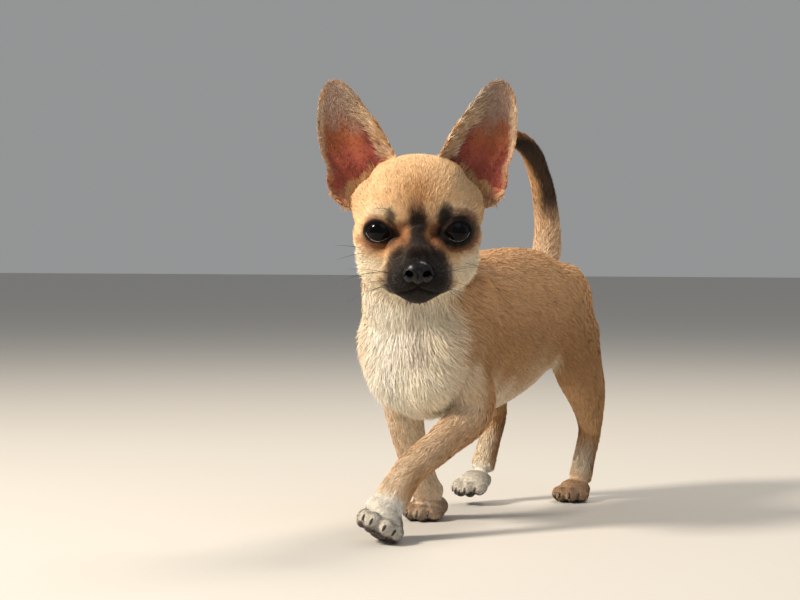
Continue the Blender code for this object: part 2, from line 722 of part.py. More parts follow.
def cut_hindleg(body, name, side, flank):
    """Part a hind leg from the hip, then its paw above the foot."""
    hip = ((side * 17, 80, 112), (side * 0.80, 0.0, -0.60))
    between = ((side * 2, 80, 60), (side, 0, 0))
    leg = part_off(body, name, [hip, between, flank])
    cut_paw(leg, name.replace("leg", "paw"))


def finish():
    """Stand the model with its box centred over the origin and give each piece its material."""
    pieces = list(bpy.data.objects)
    corners = np.array([np.array(corner) for obj in pieces for corner in obj.bound_box])
    middle = 0.5 * (corners.min(axis=0) + corners.max(axis=0))
    shift = Matrix.Translation((-middle[0], -middle[1], 0.0))
    finishes = {"nose": "nose_leather", "eye": "eye_glass", "ear": "ear_leather", "neck": "cream_coat"}
    for obj in pieces:
        obj.data.transform(shift)
        kind = obj.name.split("_")[0]
        finish_name = finishes.get(kind, "cream_coat" if "paw" in kind else "fawn_coat")
        obj.data.materials.clear()
        obj.data.materials.append(material(finish_name))
        obj.data.shade_smooth()


def main():
    clear_scene()
    neck = build_body()
    build_head(neck)
    finish()


main()
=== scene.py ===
"""A smooth-coated chihuahua puppy, life size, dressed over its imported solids.

One skin is melted from the same rounded forms as the solids, set inside them by the depth of
the coat. Over it lie short tufts of hair that follow the lie of the coat, with the markings
worked out from place on the body. Sizes are in millimetres in the source's own frame: the dog
faces -Y, its left side is +X, the floor is z = 0. The head has a frame of its own: right, up
and forward, with its origin between the eyes.
"""

import math

import bpy
import numpy as np
from mathutils import Matrix, Vector
from mathutils.bvhtree import BVHTree


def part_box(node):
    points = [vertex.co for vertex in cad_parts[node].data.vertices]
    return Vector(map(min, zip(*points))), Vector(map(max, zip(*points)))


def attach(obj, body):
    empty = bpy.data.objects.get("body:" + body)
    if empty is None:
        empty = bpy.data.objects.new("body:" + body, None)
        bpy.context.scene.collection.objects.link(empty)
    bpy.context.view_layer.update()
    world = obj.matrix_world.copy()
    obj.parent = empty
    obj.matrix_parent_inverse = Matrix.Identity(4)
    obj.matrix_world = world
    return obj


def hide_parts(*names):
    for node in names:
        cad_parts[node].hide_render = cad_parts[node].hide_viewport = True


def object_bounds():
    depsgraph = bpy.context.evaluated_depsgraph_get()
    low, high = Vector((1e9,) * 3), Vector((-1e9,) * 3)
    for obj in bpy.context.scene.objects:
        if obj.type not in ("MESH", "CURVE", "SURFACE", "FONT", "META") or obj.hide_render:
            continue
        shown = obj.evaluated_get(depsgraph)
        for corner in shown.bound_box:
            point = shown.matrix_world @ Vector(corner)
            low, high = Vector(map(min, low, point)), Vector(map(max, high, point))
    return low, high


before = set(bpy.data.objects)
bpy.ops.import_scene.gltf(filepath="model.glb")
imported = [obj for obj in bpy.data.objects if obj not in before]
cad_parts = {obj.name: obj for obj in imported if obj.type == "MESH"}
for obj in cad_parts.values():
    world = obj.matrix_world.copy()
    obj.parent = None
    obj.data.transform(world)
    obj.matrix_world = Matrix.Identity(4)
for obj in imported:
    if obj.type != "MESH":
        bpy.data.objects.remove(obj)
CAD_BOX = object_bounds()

MM = 0.001
DRAW = np.random.default_rng(20)

# The head is turned to the dog's left.
HEAD_AT = np.array([12.8, -91.5, 162.5])
HEAD_YAW = math.radians(31.0)
HEAD_PITCH = math.radians(1.3)

# Skull and face: centre and half sizes, right, up, forward. Pairs are given for the left side.
FACE_SINGLE = {
    "skull": ((0.5, 13.0, -8.0), (35.5, 30.0, 33.5), 0.9),
    "muzzle": ((0.0, -21.5, 25.0), (14.5, 12.5, 17.5), 0.5),
    "chin": ((0.0, -31.5, 25.5), (8.5, 6.5, 11.5), 0.5),
}
FACE_PAIRS = {
    "temple": ((20.0, -1.0, 0.0), (14.5, 14.0, 17.0), 0.8),
    "cheek": ((17.5, -12.0, 2.0), (13.5, 16.5, 18.0), 1.0),
    "jaw": ((9.0, -22.0, 8.0), (13.0, 11.0, 20.0), 0.8),
    "brow": ((15.5, 9.5, 11.5), (13.5, 9.0, 10.0), 0.6),
    "cheekbone": ((21.5, -9.0, 9.0), (10.5, 8.5, 10.0), 0.7),
    "flew": ((8.0, -25.5, 30.0), (8.5, 8.5, 11.0), 0.4),
    "ear_base": ((26.5, 19.0, -3.0), (9.5, 10.5, 11.0), 0.9),
    "snout_side": ((8.5, -11.5, 18.5), (8.8, 9.0, 14.0), 0.5),
}
BRIDGE = ((0.0, -1.0, 14.0), (0.0, -7.5, 25.0), (0.0, -14.5, 38.0))
BRIDGE_HALF_WIDE = (9.0, 7.0, 6.5)
BRIDGE_HALF_DEEP = (8.5, 7.0, 6.0)

# Eyes, and the almond opening of the lids.
EYE_AT = (19.3, 0.3, 13.8)
EYE_RADIUS = 8.6
EYE_OUTWARDS = math.radians(15.0)
LID_THICK = 1.3
OPENING_HALF_WIDE = 7.7
OPENING_HALF_HIGH = 5.6
OPENING_TILT = math.radians(12.0)
IRIS_RADIUS = 6.3
PUPIL_RADIUS = 3.4

# The nose pad.
NOSE_AT = (0.0, -20.5, 41.0)
NOSE_RADII = (7.3, 5.5, 5.7)
NOSE_WING_AT = (4.6, -22.6, 41.0)
NOSE_WING_RADII = (3.5, 4.1, 5.1)
NOSE_TIP_AT = (0.0, -24.0, 41.3)
NOSE_TIP_RADII = (3.6, 3.4, 4.6)
NOSE_VOXEL = 0.28
NOSE_SMOOTHING = 8
# Each nostril is an oval hole and a slit beside it: place, half sizes, lean and depth.
NOSTRIL = ((4.5, -22.2), (2.1, 1.6), 0.25)
NOSTRIL_DEEP = 3.2
NOSTRIL_RIM = 0.3
SLIT = ((6.6, -22.6), (1.7, 0.6), -0.9)
SLIT_DEEP = 1.2

# The line of the closed mouth.
MOUTH_LINE = (
    (0.0, -31.0, 44.0),
    (1.5, -33.2, 43.0),
    (5.5, -34.8, 41.0),
    (10.5, -35.2, 36.5),
    (14.5, -32.6, 29.0),
    (17.0, -29.6, 20.0),
)

# Ears, along their own axis from root to tip.
EAR_ROOT = (26.0, 28.0, -3.0)
EAR_TIP = (45.3, 81.0, -7.0)
EAR_ALONG = (-14.0, -4.0, 6.0, 14.0, 25.0, 36.0, 45.0, 52.0, 57.0)
EAR_OUTER = (11.0, 19.5, 22.0, 19.3, 19.0, 16.6, 13.0, 9.3, 3.4)
EAR_INNER = (10.0, 16.0, 17.5, 17.2, 15.4, 12.4, 9.5, 7.0, 2.8)
EAR_CUP = (13.0, 12.5, 11.5, 10.0, 8.5, 6.0, 3.6, 1.6, 0.5)
EAR_THICK = (4.0, 3.2, 2.6, 2.2, 1.9, 1.7, 1.5, 1.3, 1.1)
EAR_TURN = math.radians(10.0)
EAR_COAT = 0.1

# Torso stations: place along the body, back line, belly line and half width.
TORSO = np.array((
    (97.0, 131.0, 112.0, 7.0),
    (90.0, 147.0, 99.0, 20.0),
    (76.0, 153.5, 86.0, 26.5),
    (56.0, 156.0, 78.0, 29.0),
    (36.0, 156.0, 70.0, 30.0),
    (16.0, 154.5, 63.5, 31.5),
    (-6.0, 152.0, 59.5, 33.0),
    (-28.0, 149.0, 59.0, 34.0),
    (-50.0, 146.5, 60.0, 34.5),
    (-68.0, 144.0, 63.0, 33.5),
    (-81.0, 135.0, 72.0, 29.0),
    (-90.0, 116.0, 91.0, 13.0),
))

# Limbs: centre line, half widths, half depths, how far the skin lies inside, length of the
# hair, and 1 where the hair runs along the line or -1 where it runs back down it.
LIMBS = {
    "torso": {
        "line": np.stack([TORSO[:, 0] * 0.0, TORSO[:, 0], 0.5 * (TORSO[:, 1] + TORSO[:, 2])], axis=1),
        "wide": TORSO[:, 3], "deep": 0.5 * (TORSO[:, 1] - TORSO[:, 2]),
        "inset": 1.3, "hair": 6.5, "lie": -1.0, "round": 0.06,
    },
    "neck": {
        "line": ((0.0, -50.0, 114.0), (0.0, -67.0, 126.0), (3.5, -79.0, 141.0), (8.0, -85.0, 158.0)),
        "wide": (31.0, 30.0, 26.5, 24.5), "deep": (30.0, 28.0, 25.0, 23.0),
        "inset": 1.6, "hair": 8.5, "lie": -1.0, "round": 0.12,
    },
    "tail": {
        "line": ((0.0, 80.0, 140.0), (0.0, 87.0, 155.0), (0.0, 87.0, 174.0), (0.0, 80.0, 195.0),
                 (-0.5, 68.0, 212.0), (-2.0, 53.0, 219.5), (-4.0, 40.0, 219.0)),
        "wide": (10.0, 8.6, 7.4, 6.5, 5.9, 5.2, 4.2), "deep": (10.0, 8.6, 7.4, 6.5, 5.9, 5.2, 4.2),
        "inset": 1.2, "hair": 6.5, "lie": 1.0, "round": 0.08,
    },
    "foreleg_left": {
        "line": ((20.0, -60.0, 98.0), (27.0, -54.0, 68.0), (20.0, -76.0, 50.5), (11.4, -97.0, 36.0),
                 (5.4, -110.0, 18.0)),
        "wide": (13.5, 11.0, 9.2, 8.6, 9.8), "deep": (17.0, 13.0, 10.3, 9.2, 9.8),
        "inset": 0.9, "hair": 4.5, "lie": 1.0, "round": 0.12,
    },
    "foreleg_right": {
        "line": ((-19.0, -60.0, 98.0), (-21.0, -50.0, 68.0), (-21.0, -42.0, 45.0), (-19.0, -32.0, 23.0),
                 (-18.0, -24.0, 12.0)),
        "wide": (13.5, 11.0, 9.2, 8.6, 9.8), "deep": (17.0, 13.0, 10.3, 9.2, 9.8),
        "inset": 0.9, "hair": 4.5, "lie": 1.0, "round": 0.12,
    },
    "hindleg_left": {
        "line": ((17.0, 82.0, 118.0), (25.0, 76.0, 90.0), (25.5, 92.0, 65.0), (22.0, 103.0, 45.0),
                 (19.0, 101.5, 26.0), (17.0, 98.5, 10.0)),
        "wide": (15.0, 13.5, 10.0, 7.2, 6.8, 7.8), "deep": (28.0, 20.5, 15.0, 8.8, 7.6, 7.2),
        "inset": 0.9, "hair": 5.0, "lie": 1.0, "round": 0.12,
    },
    "hindleg_right": {
        "line": ((-17.0, 80.0, 118.0), (-25.0, 58.0, 88.0), (-26.5, 63.0, 68.0), (-26.5, 69.0, 53.0),
                 (-27.0, 62.0, 35.0), (-28.0, 55.0, 19.0)),
        "wide": (15.0, 13.5, 10.0, 7.2, 6.8, 7.8), "deep": (28.0, 20.5, 15.0, 8.8, 7.6, 7.2),
        "inset": 0.9, "hair": 5.0, "lie": 1.0, "round": 0.12,
    },
}
MUSCLES = {
    "shoulder": ((18.0, -46.0, 118.0), (15.5, 21.0, 27.0)),
    "breast": ((9.0, -72.0, 92.0), (19.0, 17.5, 24.0)),
    "haunch": ((17.0, 76.0, 118.0), (14.5, 27.0, 29.0)),
}
MUSCLE_INSET = 1.2

# Paws: middle, heading from straight ahead, lift of the toes, roll of the outer side, and size.
PAWS = {
    "forepaw_left": {"at": (5.0, -113.4, 10.3), "heading": -26.0, "lift": 10.0, "roll": 26.0, "size": 1.1},
    "forepaw_right": {"at": (-18.0, -25.0, 7.2), "heading": 4.0, "lift": 0.0, "roll": 0.0, "size": 1.0},
    "hindpaw_left": {"at": (16.5, 93.0, 7.0), "heading": -4.0, "lift": 0.0, "roll": 0.0, "size": 0.94},
    "hindpaw_right": {"at": (-28.5, 48.0, 14.0), "heading": 4.0, "lift": -8.0, "roll": 0.0, "size": 0.94},
}
INSTEP_AT = (-2.5, 1.5, 5.0)
INSTEP_RADII = np.array((9.5, 10.0, 9.0))
PAW_RADII = np.array((10.2, 11.5, 7.4))
TOES = ((-8.0, -7.0, 4.3), (-3.4, -11.5, 4.7), (3.4, -11.5, 4.7), (8.0, -7.0, 4.3))
TOE_LENGTH = 7.2
TOE_DROP = 2.2
HEEL_PAD_AT = (0.0, 2.5, -5.2)
HEEL_PAD_RADII = (6.6, 6.0, 3.6)
PAW_COAT = 0.6
# Where white feet and their shorter hair reach, ahead of and around the paw's middle.
PAW_FORWARD = np.array((0.0, 4.0, 0.0))
PAW_REACH = np.array((16.0, 21.0, 14.0))
CLAW_LENGTH = 4.7

# Colours of the coat and the bare skin, as sRGB hex.
COLOURS = {
    "gold": "e9c495",
    "fawn": "d6ab7c",
    "fawn_deep": "a97c4c",
    "tan": "bf9060",
    "brown": "7c5532",
    "cream": "eadfc8",
    "white": "f2ece1",
    "grey": "9b9088",
    "mask": "17110e",
    "mask_soft": "38281f",
    "rust": "7d4a2a",
    "orange": "c08a52",
    "ear_rose": "b05c50",
    "ear_deep": "8a4540",
    "ear_rust": "a8603f",
    "ear_fuzz": "a89080",
    "pad": "2a2223",
    # The ball round the iris: its own dark brown deepened to near black, as painted shade.
    "eyeball": "120e0d",
    "iris": "0e0806",
    "iris_edge": "060504",
    "pupil": "020202",
    "nose_black": "100f12",
}

# Camera: a long lens low in front of the dog's left shoulder, for a frame 800 pixels wide.
CAMERA_AZIMUTH = 31.0
CAMERA_ELEVATION = 1.3
CAMERA_REACH = 1100.0
CAMERA_TARGET = (-29.0, -40.0, 125.5)
FOCAL_PIXELS = 1938.0
PHOTO_WIDTH = 800
SENSOR_WIDTH = 36.0

# Lights: place and disk size in metres, power in watts, colour; all aim at one spot on the dog.
LIGHTS = (
    ("key", (-0.82, -1.2, 1.2), 0.42, 47.0, "fff1de"),
    ("sky", (0.9, -0.6, 1.3), 1.2, 2.5, "dfeaff"),
    ("rim", (0.1, 0.8, 1.5), 0.6, 14.0, "fff0dc"),
)
LIGHTS_AIM = (0.0, -40.0, 130.0)
ROOM_COLOUR = "f0f1f2"
ROOM_STRENGTH = 0.34
FLOOR_REACH = 12.0

# Skin: rings of the limbs, and the voxel and smoothing of the body and then of the whole.
LIMB_STEPS = 44
LIMB_AROUND = 40
BODY_VOXEL = 0.9
BODY_SMOOTHING = 22
SKIN_VOXEL = 0.62
SKIN_SMOOTHING = 3
SMOOTHING_SHARE = 0.5
SKIN_TRIANGLES = 150000
FLOOR_CLEAR = 0.05
TOE_HEIGHT = 1.15
TOES_SUNK = -0.1
WAVES = 9

# The trunk's extra smoothing, and where it fades in: behind the ribs, above the legs, off the
# tail, and ahead of and above the throat.
TRUNK_STEPS = 6
TRUNK_SMOOTHING = 240
TRUNK_PUSH = 0.9
TRUNK_REAR = (20, 40)
ABOVE_FORELEGS = (84, 104)
ABOVE_HINDLEGS = (54, 78)
OFF_TAIL = (8, 16)
FACE_AHEAD = (-16, -4)
FACE_ABOVE = (-26, -16)

# How the sides of the skull are drawn in: height, spread and depth, and where it fades in.
DRAWN_AT = 29.0
DRAWN_SPREAD = 9.5
DRAWN_IN = 3.7
DRAWN_SIDES = (14, 34)
DRAWN_AHEAD = (-34, -20)

# Ears: rings and points across, power of the bowl, share of the wall at the rim, least wall, and
# how much wider the back is.
EARS = ((-1, "ear_right"), (1, "ear_left"))
EAR_ROWS = 34
EAR_COLUMNS = 25
EAR_BOWL = 0.8
EAR_RIM = 0.45
EAR_WALL_LEAST = 1.25
EAR_BACK_GROWN = 0.3
EAR_TIP_WIDE = 4.0

# Lids: how far round the eye they reach, how deep the opening drops, how proud the edge stands in
# lid thicknesses, where the edge and the fade lie, and creases: side, depth, place and spread.
LID_REACH = 17.0
LID_DROP = 1.9
LID_PROUD = 0.75
LID_EDGE = (0.86, 1.04)
LID_FADE = (1.15, 1.6)
LID_CREASES = ((1, 0.45, 1.5, 0.10), (-1, 0.35, 1.6, 0.12))
LID_RIM_RADIUS = 0.42
TEAR_RADIUS = 0.2
CORNEA = 0.45
IRIS_RAYS = 31

# Lips: the groove between them, the roll of the lower one, and the cleft up to the nose.
MOUTH_POINTS = 40
GROOVE_DEEP = 1.1
GROOVE_WIDE = 0.75
ROLL_HIGH = 0.35
ROLL_AT = 1.9
ROLL_WIDE = 0.9
CLEFT_DEEP = 0.5
CLEFT_WIDE = 0.55
NO_LIP = 99.0
FAR_OFF = 1e9

# Parts of the body. A point belongs to the part with the least distance over radius, with a
# small start given to head and paws.
PARTS = tuple(LIMBS) + ("head",) + tuple(PAWS) + tuple(name for _, name in EARS)
PART_OF = {name: k for k, name in enumerate(PARTS)}
LEAST_RADIUS = 2.0
FAR_RATIO = 9.0
HEAD_FIRST = 0.04
PAW_FIRST = 0.12

# Markings: the line across the chest, how white each foot is and how dark its toe tips, how far a
# sole is turned down, and how far black and brown reach round each eye, in openings of the lids.
CHEST_ACROSS = np.array((0.857, 0.515, 0.0))
PAW_WHITE = {"forepaw_left": 1.0, "forepaw_right": 0.5, "hindpaw_left": 0.3, "hindpaw_right": 1.0}
PAW_TIPPED = {"forepaw_left": 0.15, "forepaw_right": 0.3, "hindpaw_left": 0.2, "hindpaw_right": 0.95}
SOLE_TURNED = (0.5, 0.85)
EYE_RIMS = ((-1, 1.06, 1.3), (1, 1.36, 1.8))

# Hair: length, root width, lift, tufts per square millimetre and wildness, plain and on paws, and
# the first two and the fourth on ears.
PLAIN_HAIR = (4.4, 0.42, 0.13, 1.5, 0.1)
PAW_HAIR = (2.8, 0.34, 0.1, 4.4, 0.08)
EAR_HAIR = (2.2, 0.28, 3.2)
HAIR_PARTS_AT = (0.0, -19.0, 46.0)
PAW_LIE = (0.0, -1.0, -0.25)
HAIR_TWIST = 0.9
HAIR_SLOPE = (0.05, 0.6)
ROOT_SUNK = 0.15
ROOT_TO_TIP = (0.88, 0.88, 1.0, 1.0, 1.12)

# Tufts: hairs in each, the fan they spread in, and each hair's five points and three faces.
COAT_FULLNESS = 0.78
HAIRS_IN_TUFT = 3
FAN_ANGLE = 0.10
FAN_STEP = 0.32
HAIR_FACES = np.array([[0, 1, 3], [0, 3, 2], [2, 3, 4]])
HAIR_ACROSS = np.array([-0.5, 0.5, -0.5, 0.5, 0.0])
HAIR_AHEAD = np.array([0.0, 0.0, 0.5, 0.5, 1.0])
MOST_TRIANGLES = 198000
COAT_PIECES = {
    "head": ("head",),
    "ears": ("ear_left", "ear_right"),
    "neck": ("neck",),
    "torso": ("torso",),
    "tail": ("tail",),
    "forelegs": ("foreleg_left", "foreleg_right"),
    "hindlegs": ("hindleg_left", "hindleg_right"),
    "paws": tuple(PAWS),
}

# The coat's sheet in OFBake: parts a row, margin of each, and a hair's width, length and step.
SHEET_TILES = 4
TILE_MARGIN = 0.02
HAIR_PATCH_WIDE = 0.0008
HAIR_PATCH_LONG = 0.003
HAIR_PATCH_STEP = 0.0011

# Claws and pads: root inside the toe, half widths and half depths, and the heel's bare skin.
CLAW_ROOT = 3.6
CLAW_HALVES = ((1.2, 1.05, 0.4), (1.4, 1.2, 0.45))
HEEL_SKIN_RADII = (5.4, 4.6, 3.3)

# Whiskers: how many a side, the box they grow in, length, and how far they sweep back.
WHISKERS = (
    (8, (7.0, -31.0, 22.0), (17.0, -20.0, 36.0), 21.0, -0.15),
    (2, (18.0, -16.0, 6.0), (30.0, -8.0, 20.0), 14.0, -0.6),
    (2, (13.0, 8.5, 14.0), (20.0, 13.0, 26.0), 10.0, 0.3),
)
WHISKER_RADII = (0.15, 0.03)
WHISKER_REACH = 1.5

# How the nose's shine grows with the lightness of its colour, so that the nostrils, painted darker as
# painted shade, stay dull.
NOSE_SHINE = 38.0

FLESH_NODES = ["head", "neck", "torso", "tail", "ear_left", "ear_right",
               "foreleg_left", "foreleg_right", "hindleg_left", "hindleg_right",
               "forepaw_left", "forepaw_right", "hindpaw_left", "hindpaw_right"]


def srgb(text):
    """One sRGB hex colour as three linear values, by the standard curve."""
    value = np.array([int(text[k:k + 2], 16) / 255 for k in (0, 2, 4)])
    return np.where(value <= 0.04045, value / 12.92, ((value + 0.055) / 1.055) ** 2.4)


def opaque(text):
    """One sRGB hex colour as a socket takes it, linear and with an alpha of 1."""
    return (*srgb(text), 1)


PAINT = {name: srgb(text) for name, text in COLOURS.items()}


def unit(vectors):
    """Vectors at length one, along their last axis."""
    vectors = np.asarray(vectors, float)
    return vectors / np.maximum(np.linalg.norm(vectors, axis=-1, keepdims=True), 1e-9)


def ease(value, low, high):
    """0 below low and 1 above high, with a smooth s-shaped rise 3t^2 - 2t^3 between."""
    t = np.clip((value - low) / (high - low), 0, 1)
    return t * t * (3 - 2 * t)


def fade(value, low, high):
    """1 below low and 0 above high, the turned-round ease."""
    return 1 - ease(value, low, high)


def hump(value, middle, spread):
    """A bell, exp(-((value - middle) / spread)^2): 1 at the middle, falling away on both sides."""
    return np.exp(-(((value - middle) / spread) ** 2))


def head_axes():
    """The head's right, up and forward directions."""
    forward = np.array([
        math.sin(HEAD_YAW) * math.cos(HEAD_PITCH),
        -math.cos(HEAD_YAW) * math.cos(HEAD_PITCH),
        math.sin(HEAD_PITCH),
    ])
    right = np.array([math.cos(HEAD_YAW), math.sin(HEAD_YAW), 0.0])
    return np.stack([right, np.cross(forward, right), forward])


HEAD = head_axes()


def on_head(points):
    """Points in the head's frame, placed in the world."""
    return HEAD_AT + np.asarray(points, float) @ HEAD


def in_head(points):
    """World points, given in the head's frame."""
    return (np.asarray(points, float) - HEAD_AT) @ HEAD.T


def mirrored(point, side):
    """The point with its first value turned to the side, -1 or 1."""
    return (side * point[0], *point[1:])


def flipped(rows, side):
    """Rows with their first value turned to the side, -1 or 1."""
    return rows * np.array([side, 1.0, 1.0])


def through(values, t):
    """Catmull-Rom: between two of the values a cubic that leaves each along the line of its neighbours."""
    values = np.asarray(values, float)
    if values.ndim == 1:
        return through(values[:, None], t)[:, 0]
    padded = np.concatenate([[2 * values[0] - values[1]], values, [2 * values[-1] - values[-2]]])
    spot = np.clip(np.asarray(t) * (len(values) - 1), 0, len(values) - 1 - 1e-9)
    first = spot.astype(int)
    u = (spot - first)[:, None]
    a, b, c, d = (padded[first + k] for k in range(4))
    return b + 0.5 * u * (c - a + u * (2 * a - 5 * b + 4 * c - d + u * (3 * (b - c) + d - a)))


def ring_surface(rings, first_pole, last_pole):
    """Points and faces of rings joined in order, closed by a fan of triangles at each end."""
    count, around = rings.shape[:2]
    points = np.concatenate([[first_pole], rings.reshape(-1, 3), [last_pole]])
    k = np.arange(around)
    after = (k + 1) % around
    row = 1 + around * np.arange(count - 1)[:, None]
    quads = np.stack([row + k, row + after, row + around + after, row + around + k], axis=-1)
    last = 1 + around * (count - 1)
    start = np.stack([k * 0, 1 + after, 1 + k], axis=-1)
    end = np.stack([last + k, last + after, k * 0 + len(points) - 1], axis=-1)
    return points, start.tolist() + quads.reshape(-1, 4).tolist() + end.tolist()


def loft(line, half_wide, half_deep, side, round_off=0.12, steps=28, around=28):
    """Ellipses carried along a smooth line, their half sizes eased along it, rounded off at the
    ends as sqrt(1 - s^2); half_wide is measured along side."""
    t = 0.5 - 0.5 * np.cos(np.linspace(0, math.pi, steps + 1))
    centre = through(line, t)
    along = unit(np.gradient(centre, axis=0))
    across = unit(unit(side) - (along @ unit(side))[:, None] * along)
    deep = np.cross(along, across)
    past = np.clip((np.abs(2 * t - 1) - (1 - round_off)) / round_off, 0, 1)
    taper = np.sqrt(1 - past ** 2)
    angle = np.linspace(0, 2 * math.pi, around, endpoint=False)
    wide = (through(half_wide, t) * taper)[:, None, None]
    depth = (through(half_deep, t) * taper)[:, None, None]
    rings = (centre[:, None] + np.cos(angle)[None, :, None] * wide * across[:, None]
             + np.sin(angle)[None, :, None] * depth * deep[:, None])
    return ring_surface(rings[1:-1], centre[0], centre[-1])


def ellipsoid(centre, radii, axes=np.eye(3), segments=28, rings=16):
    """Circles of latitude sin(height) wide at cos(height), stretched by the radii along the axes."""
    height = np.linspace(0, math.pi, rings + 1)[1:-1, None]
    angle = np.linspace(0, 2 * math.pi, segments, endpoint=False)[None]
    ball = np.stack([np.sin(height) * np.cos(angle), np.sin(height) * np.sin(angle),
                     np.cos(height) + 0 * angle], axis=-1)
    rows = np.asarray(centre) + ball * np.asarray(radii) @ axes
    pole = np.array([0.0, 0.0, radii[2]]) @ axes
    return ring_surface(rows, centre + pole, centre - pole)


def ear_axes():
    """Root, axis, outward and front directions of the left ear, in the head's frame."""
    root, tip = np.array(EAR_ROOT), np.array(EAR_TIP)
    axis = unit(tip - root)
    outward = unit(np.cross(np.cross(axis, (1.0, 0.0, 0.0)), axis))
    front = unit(np.cross(outward, axis))
    front = front if front[2] > 0 else -front
    turned = outward * math.cos(EAR_TURN) - front * math.sin(EAR_TURN)
    front = front * math.cos(EAR_TURN) + outward * math.sin(EAR_TURN)
    return root, np.stack([axis, turned, front])


EAR_AT, EAR = ear_axes()


def in_ear(points, side):
    """World points as along, outward and front of that side's ear."""
    return (flipped(in_head(points), side) - EAR_AT) @ EAR.T


def into_ear(normals, side):
    """How far each normal faces the way that the cup of that side's ear opens, -1 to 1."""
    return normals @ (flipped(EAR[2], side) @ HEAD)


def ear_half(local):
    """Half width of the ear at each point in the ear's own frame, on the point's side of it."""
    t = np.clip((local[:, 0] - EAR_ALONG[0]) / (EAR_ALONG[-1] - EAR_ALONG[0]), 0, 1)
    return np.where(local[:, 1] > 0, through(EAR_OUTER, t), through(EAR_INNER, t))


def ear_surface(side):
    """Crescents set along the ear's axis: the hollow follows -cup * cos^0.8 of the turn from rim
    to rim, the back lies outside it by the wall's thickness, and both close at root and tip."""
    t = np.linspace(0, 1, EAR_ROWS)
    along, outer, inner, cup, thick = (
        through(values, t) for values in (EAR_ALONG, EAR_OUTER, EAR_INNER, EAR_CUP, EAR_THICK))
    outer, inner = outer - EAR_COAT, inner - EAR_COAT
    turn = np.linspace(-1, 1, EAR_COLUMNS) * math.pi / 2
    reach = np.where(turn[None] > 0, outer[:, None], inner[:, None]) * np.sin(turn)
    bowl = np.cos(turn) ** EAR_BOWL
    wall = np.maximum(thick[:, None] * (EAR_RIM + (1 - EAR_RIM) * bowl[None]), EAR_WALL_LEAST)
    face = -cup[:, None] * bowl[None]
    hollow = np.stack([reach, face], axis=-1)
    grown = 1.0 + EAR_BACK_GROWN * wall / np.maximum(outer + inner, EAR_TIP_WIDE)[:, None]
    back = np.stack([reach * grown, face - wall], axis=-1)[:, ::-1]
    profile = np.concatenate([hollow, back], axis=1)
    local = (EAR_AT + along[:, None, None] * EAR[0] + profile[..., :1] * EAR[1]
             + profile[..., 1:] * EAR[2])
    rings = on_head(flipped(local, side))
    return ring_surface(rings, rings[0].mean(axis=0), rings[-1].mean(axis=0))


def eye_axes(side):
    """The eye's sideways, upward and outward directions in the world."""
    right, up, forward = HEAD
    turn = side * EYE_OUTWARDS
    look = forward * math.cos(turn) + right * math.sin(turn)
    level = right * math.cos(turn) - forward * math.sin(turn)
    tilt = side * OPENING_TILT
    across = level * math.cos(tilt) + up * math.sin(tilt)
    return np.stack([across, up * math.cos(tilt) - level * math.sin(tilt), look])


def paw_axes(paw):
    """The paw's side, length and height directions in the world."""
    turn = Matrix.Rotation(math.radians(-paw["heading"]), 3, "Z")
    lift = Matrix.Rotation(math.radians(-paw["lift"]), 3, "X")
    roll = Matrix.Rotation(math.radians(paw["roll"]), 3, "Y")
    return np.array((turn @ lift @ roll).transposed())


def on_paw(paw, point):
    """A point across, along and above the paw's middle, placed in the world."""
    return np.asarray(paw["at"]) + np.asarray(point) * paw["size"] @ paw_axes(paw)


def in_paw(paw, points):
    """World points across, along and above the paw's middle, in the paw's own size."""
    return (points - paw["at"]) @ paw_axes(paw).T / paw["size"]


def linked(name, data):
    """A new object for the data, put into the scene."""
    obj = bpy.data.objects.new(name, data)
    bpy.context.scene.collection.objects.link(obj)
    return obj


def mesh_object(name, points, faces):
    """A mesh object from world points in the source's millimetres, set in the row's frame."""
    mesh = bpy.data.meshes.new(name)
    mesh.from_pydata((np.asarray(points) * MM + SHIFT).tolist(), [], faces)
    mesh.update()
    return linked(name, mesh)


def gathered(parts):
    """Several surfaces as one list of points and faces."""
    points, faces, start = [], [], 0
    for part_points, part_faces in parts:
        points.append(part_points)
        faces += [[start + k for k in face] for face in part_faces]
        start += len(part_points)
    return np.concatenate(points), faces


def settle(obj):
    """The object's mesh becomes what its modifiers make of it."""
    bpy.context.view_layer.update()
    graph = bpy.context.evaluated_depsgraph_get()
    made = bpy.data.meshes.new_from_object(obj.evaluated_get(graph))
    obj.modifiers.clear()
    obj.data = made
    return obj


def add_smoothing(obj, steps, group=""):
    """Smooth the object's mesh by that many steps, over one vertex group where it is named."""
    smooth = obj.modifiers.new("smooth", "SMOOTH")
    smooth.factor = SMOOTHING_SHARE
    smooth.iterations = steps
    smooth.vertex_group = group


def melt(obj, voxel, smoothing):
    """One closed skin over all the object's surfaces, smoothed."""
    remesh = obj.modifiers.new("melt", "REMESH")
    remesh.mode = "VOXEL"
    remesh.voxel_size = voxel * MM
    add_smoothing(obj, smoothing)
    return settle(obj)


